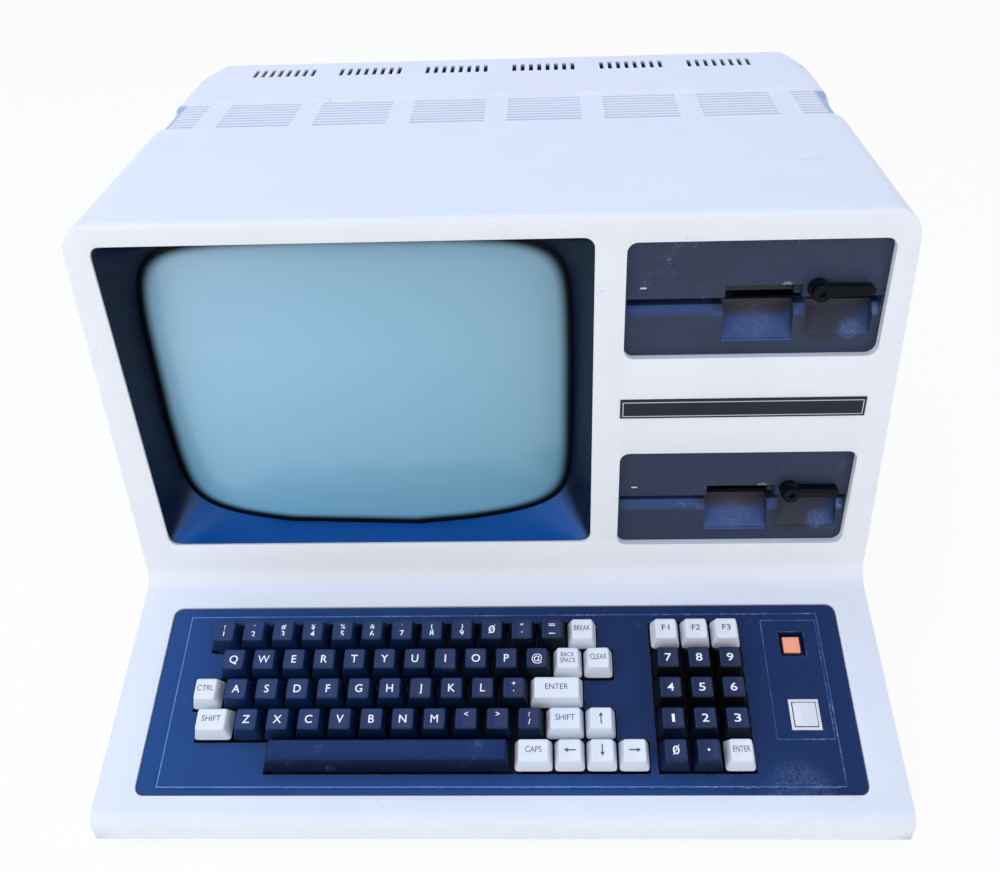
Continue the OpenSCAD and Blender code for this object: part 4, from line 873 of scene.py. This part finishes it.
# ---- Badge and name strip ---------------------------------------------------
# A bare domed tile, stuck on the surround, with a dark gap inside its pale frame, and a
# bare strip of black lacquered aluminium with a thin bright border line on the face.
badge_abs = finish("white_domed_tile", "#D8DEE6", 0.25, 0.5 * MM, 0.01 * MM, 0.02, coat=0.3)
eased("badge_tile", 0.25 * MM, badge_abs, "cabinet")
strip_black = finish("black_lacquered_aluminium", "#171B28", 0.5, 0.5 * MM, 0.01 * MM, 0.1, gloss=0.3)
strip_silver = finish("bright_aluminium_line", "#C9CDD2", 0.3, 0.3 * MM, 0.005 * MM, 0.05)
strip_silver.node_tree.nodes["Principled BSDF"].inputs["Metallic"].default_value = 0.9
paint("name_strip", strip_black)

STRIP_X, STRIP_Y, STRIP_OUT = 147.6 * MM, 99.4 * MM, 0.62 * MM
STRIP_W, STRIP_H = 141.6 * MM, 9.8 * MM
TILE_X, TILE_S, TILE_OUT = 185.95 * MM, ROW_MID - 12.85 * MM, 0.43 * MM
TILE_W, TILE_H = 14.8 * MM, 15.6 * MM
PLATEAU_X, PLATEAU_S, PLATEAU_W, PLATEAU_H = 0.0 * MM, ROW_MID - 1 * MM, 407.4 * MM, 109.4 * MM
PANEL_X, PANEL_S, PANEL_W, PANEL_H = 184.5 * MM, ROW_MID + 10.5 * MM, 35 * MM, 77 * MM


def border(name, middle, size, line, out, material, place=on_deck):
    """A flat line of constant width round a rectangle: four mitred strips."""
    xo, yo = np.array([-1, 1, 1, -1]) * size[0] / 2, np.array([-1, -1, 1, 1]) * size[1] / 2
    xi, yi = xo - np.sign(xo) * line, yo - np.sign(yo) * line
    rows = np.array([place(middle[0] + x, middle[1] + y, out) for x, y in ((xo, yo), (xi, yi))])
    piece = skin(name, rows, material)
    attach(piece, "cabinet")


border("strip_line", (STRIP_X, STRIP_Y), (STRIP_W, STRIP_H), 0.5 * MM, STRIP_OUT, strip_silver,
       place=on_face)
tile_gap = finish("dark_gap_round_tile", "#39404F", 0.6, 0.5 * MM, 0.01 * MM, 0.1)
border("tile_outline", (TILE_X, TILE_S), (TILE_W, TILE_H), 0.7 * MM, TILE_OUT, tile_gap)

# ---- Scuffed and lit lines on the surround ----------------------------------
# The steps round the keyboard's plateau and round the panel on its right, where the navy
# ABS is rubbed pale and the edges carry a painted highlight. Both lie a few hundredths of a
# millimetre over the surround.
scuffed_and_lit_line = finish("scuffed_and_lit_navy_abs", "#2A4E8C", 0.6, 0.5 * MM, 0.01 * MM, 0.1, specks=1.6,
                      speck_colour="#8FA3D0", speck_size=2.2 * MM, gloss=0.16,
                      after=window_light("#6E8CC4", 0.7))
border("plateau_line", (PLATEAU_X, PLATEAU_S), (PLATEAU_W, PLATEAU_H), 0.7 * MM, 0.03 * MM,
       scuffed_and_lit_line)
border("panel_line", (PANEL_X, PANEL_S), (PANEL_W, PANEL_H), 0.55 * MM, 0.04 * MM, scuffed_and_lit_line)

# ---- Disk drives ------------------------------------------------------------
# Fronts of charcoal polycarbonate, moulded with a coarse grain that holds dust, with a
# slot, a finger notch and a black acetal locking lever on a hub.
DRIVE_X, DRIVE_LEVELS = 148.5 * MM, {"upper": 167.5 * MM, "lower": 33.0 * MM}
# The notch colour is painted shade deep in the finger notch; LINT and DUST are dust
CHARCOAL, NOTCH_SHADE, LINT, DUST = "#28334B", "#2A2A33", "#C9D3E6", "#7C90BC"


def on_drive(side, x, y, deep=5):
    """World point in millimetres right of and above a drive's middle, deep behind the face."""
    return FACE_FOOT + Vector((DRIVE_X + x * MM, 0, 0)) + FACE_UP * (DRIVE_LEVELS[side] + y * MM) \
        - FACE_OUT * deep * MM


def drive_shade_and_dirt(side):
    """Painted shade along the top of the finger notch, deep in its recess, and a painted
    shadow in the lever's hollow; less painted light on the lower edge of the slot's facet;
    and lint and dust where fingers don't reach."""
    notch_shade = [(on_drive(side, x, -3, 14), 14 * MM, NOTCH_SHADE, 0.9, False) for x in (-13, -5, 3, 11, 17)]
    facet_unlit = [(on_drive(side, x, -14), 7 * MM, CHARCOAL, 0.7, False) for x in range(-68, -20, 7)]
    hollow_shadow = [(on_drive(side, 40, -14), 17 * MM, "#24252D", 0.9, False),
              (on_drive(side, 55, -6, 10), 14 * MM, "#26272F", 0.85, False)]
    loose = [(on_drive(side, 56, -20), 8 * MM, DUST, 0.5, True),
             (on_drive(side, -12, 4), 4 * MM, LINT, 0.9, True),
             (on_drive(side, 18, 5), 5 * MM, LINT, 0.9, True),
             (on_drive(side, 67, -8), 5 * MM, "#A9B9D8", 0.8, True),
             (on_drive(side, 3, -14), 15 * MM, DUST, 0.3, True)]
    return notch_shade + facet_unlit + hollow_shadow + loose


# Faces that look up are painted a brighter blue, as light from above
drive_pc = finish("charcoal_grained_polycarbonate", CHARCOAL, 0.5, 0.7 * MM, 0.12 * MM, 0.12,
                  specks=0.2, speck_colour="#8C98B4", speck_size=0.8 * MM,
                  lit_from_above=("#2F4A80", 0.3, 0.7), gloss=0.3, flat=True,
                  spots=[spot for side in DRIVE_LEVELS for spot in drive_shade_and_dirt(side)])
lever_pom = finish("black_acetal", "#03070F", 0.22, 0.6 * MM, 0.01 * MM, 0.1, specks=0.12,
                   speck_colour="#7F89A0", gloss=0.12)
# The lens is pale as a painted reflection of the lamps on its glossy face
lens_glint = finish("light_lens_painted_glint", "#D8E2F2", 0.3, 0.5 * MM, 0.005 * MM, 0.02)
LENS_X, LENS_UP, LENS_HALF_W, LENS_HALF_H = -62 * MM, 6.3 * MM, 2 * MM, 0.5 * MM
LENS_BACK, LENS_FRONT = -6.6 * MM, -5.4 * MM
for side in DRIVE_LEVELS:
    paint("drive_bezel_" + side, drive_pc)
    eased("drive_lever_" + side, 1.0 * MM, lever_pom, "lever_" + side, segments=3)
    lens_x = DRIVE_X + LENS_X + np.array([-1, 1, 1, -1]) * LENS_HALF_W
    lens_y = DRIVE_LEVELS[side] + LENS_UP + np.array([-1, -1, 1, 1]) * LENS_HALF_H
    rows = np.array([on_face(lens_x, lens_y, out) for out in (LENS_BACK, LENS_FRONT)])
    lens = outward(skin("busy_light_" + side, rows, lens_glint, cap=(True, True)))
    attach(lens, "cabinet")

# ---- Inside and underneath --------------------------------------------------
# Metalwork, boards and fixings of zinc-plated steel, aluminium and solder-masked laminate,
# seen only through the vents and slots or from below. They keep their CAD shapes.
steel = finish("zinc_plated_steel", "#B9BEC4", 0.35, 0.4 * MM, 0.005 * MM, 0.05)
steel.node_tree.nodes["Principled BSDF"].inputs["Metallic"].default_value = 1.0
alloy = finish("bare_aluminium_sheet", "#A9ADB2", 0.4, 0.6 * MM, 0.01 * MM, 0.05)
alloy.node_tree.nodes["Principled BSDF"].inputs["Metallic"].default_value = 1.0
rubber = finish("black_rubber", "#17181B", 0.75, 0.8 * MM, 0.04 * MM, 0.1, specks=0.2)
board = finish("green_solder_resist", "#24583A", 0.35, 0.8 * MM, 0.01 * MM, 0.12)
copper = finish("enamelled_copper_winding", "#A8622F", 0.3, 0.4 * MM, 0.05 * MM, 0.15)
black_abs = finish("black_moulded_abs", "#191B20", 0.45, 0.6 * MM, 0.03 * MM, 0.08, specks=0.1)
cable = finish("grey_ribbon_pvc", "#8E939C", 0.5, 0.9 * MM, 0.05 * MM, 0.05)
for name in ("case_screws", "drive_motors", "spindle_upper", "spindle_lower", "clamp_arm_upper",
             "clamp_arm_lower"):
    paint(name, steel)
for name in ("drive_chassis_upper", "drive_chassis_lower", "head_carriage_upper", "head_carriage_lower",
             "drive_brackets", "power_supply", "board_bracket"):
    paint(name, alloy)
for name in ("video_boards", "logic_boards", "drive_boards"):
    paint(name, board)
for name in ("speaker", "power_inlet", "power_rocker", "brightness_knob", "contrast_knob"):
    paint(name, black_abs)
paint("deflection_yoke", copper)
paint("rubber_feet", rubber)
paint("ribbon_cables", cable)
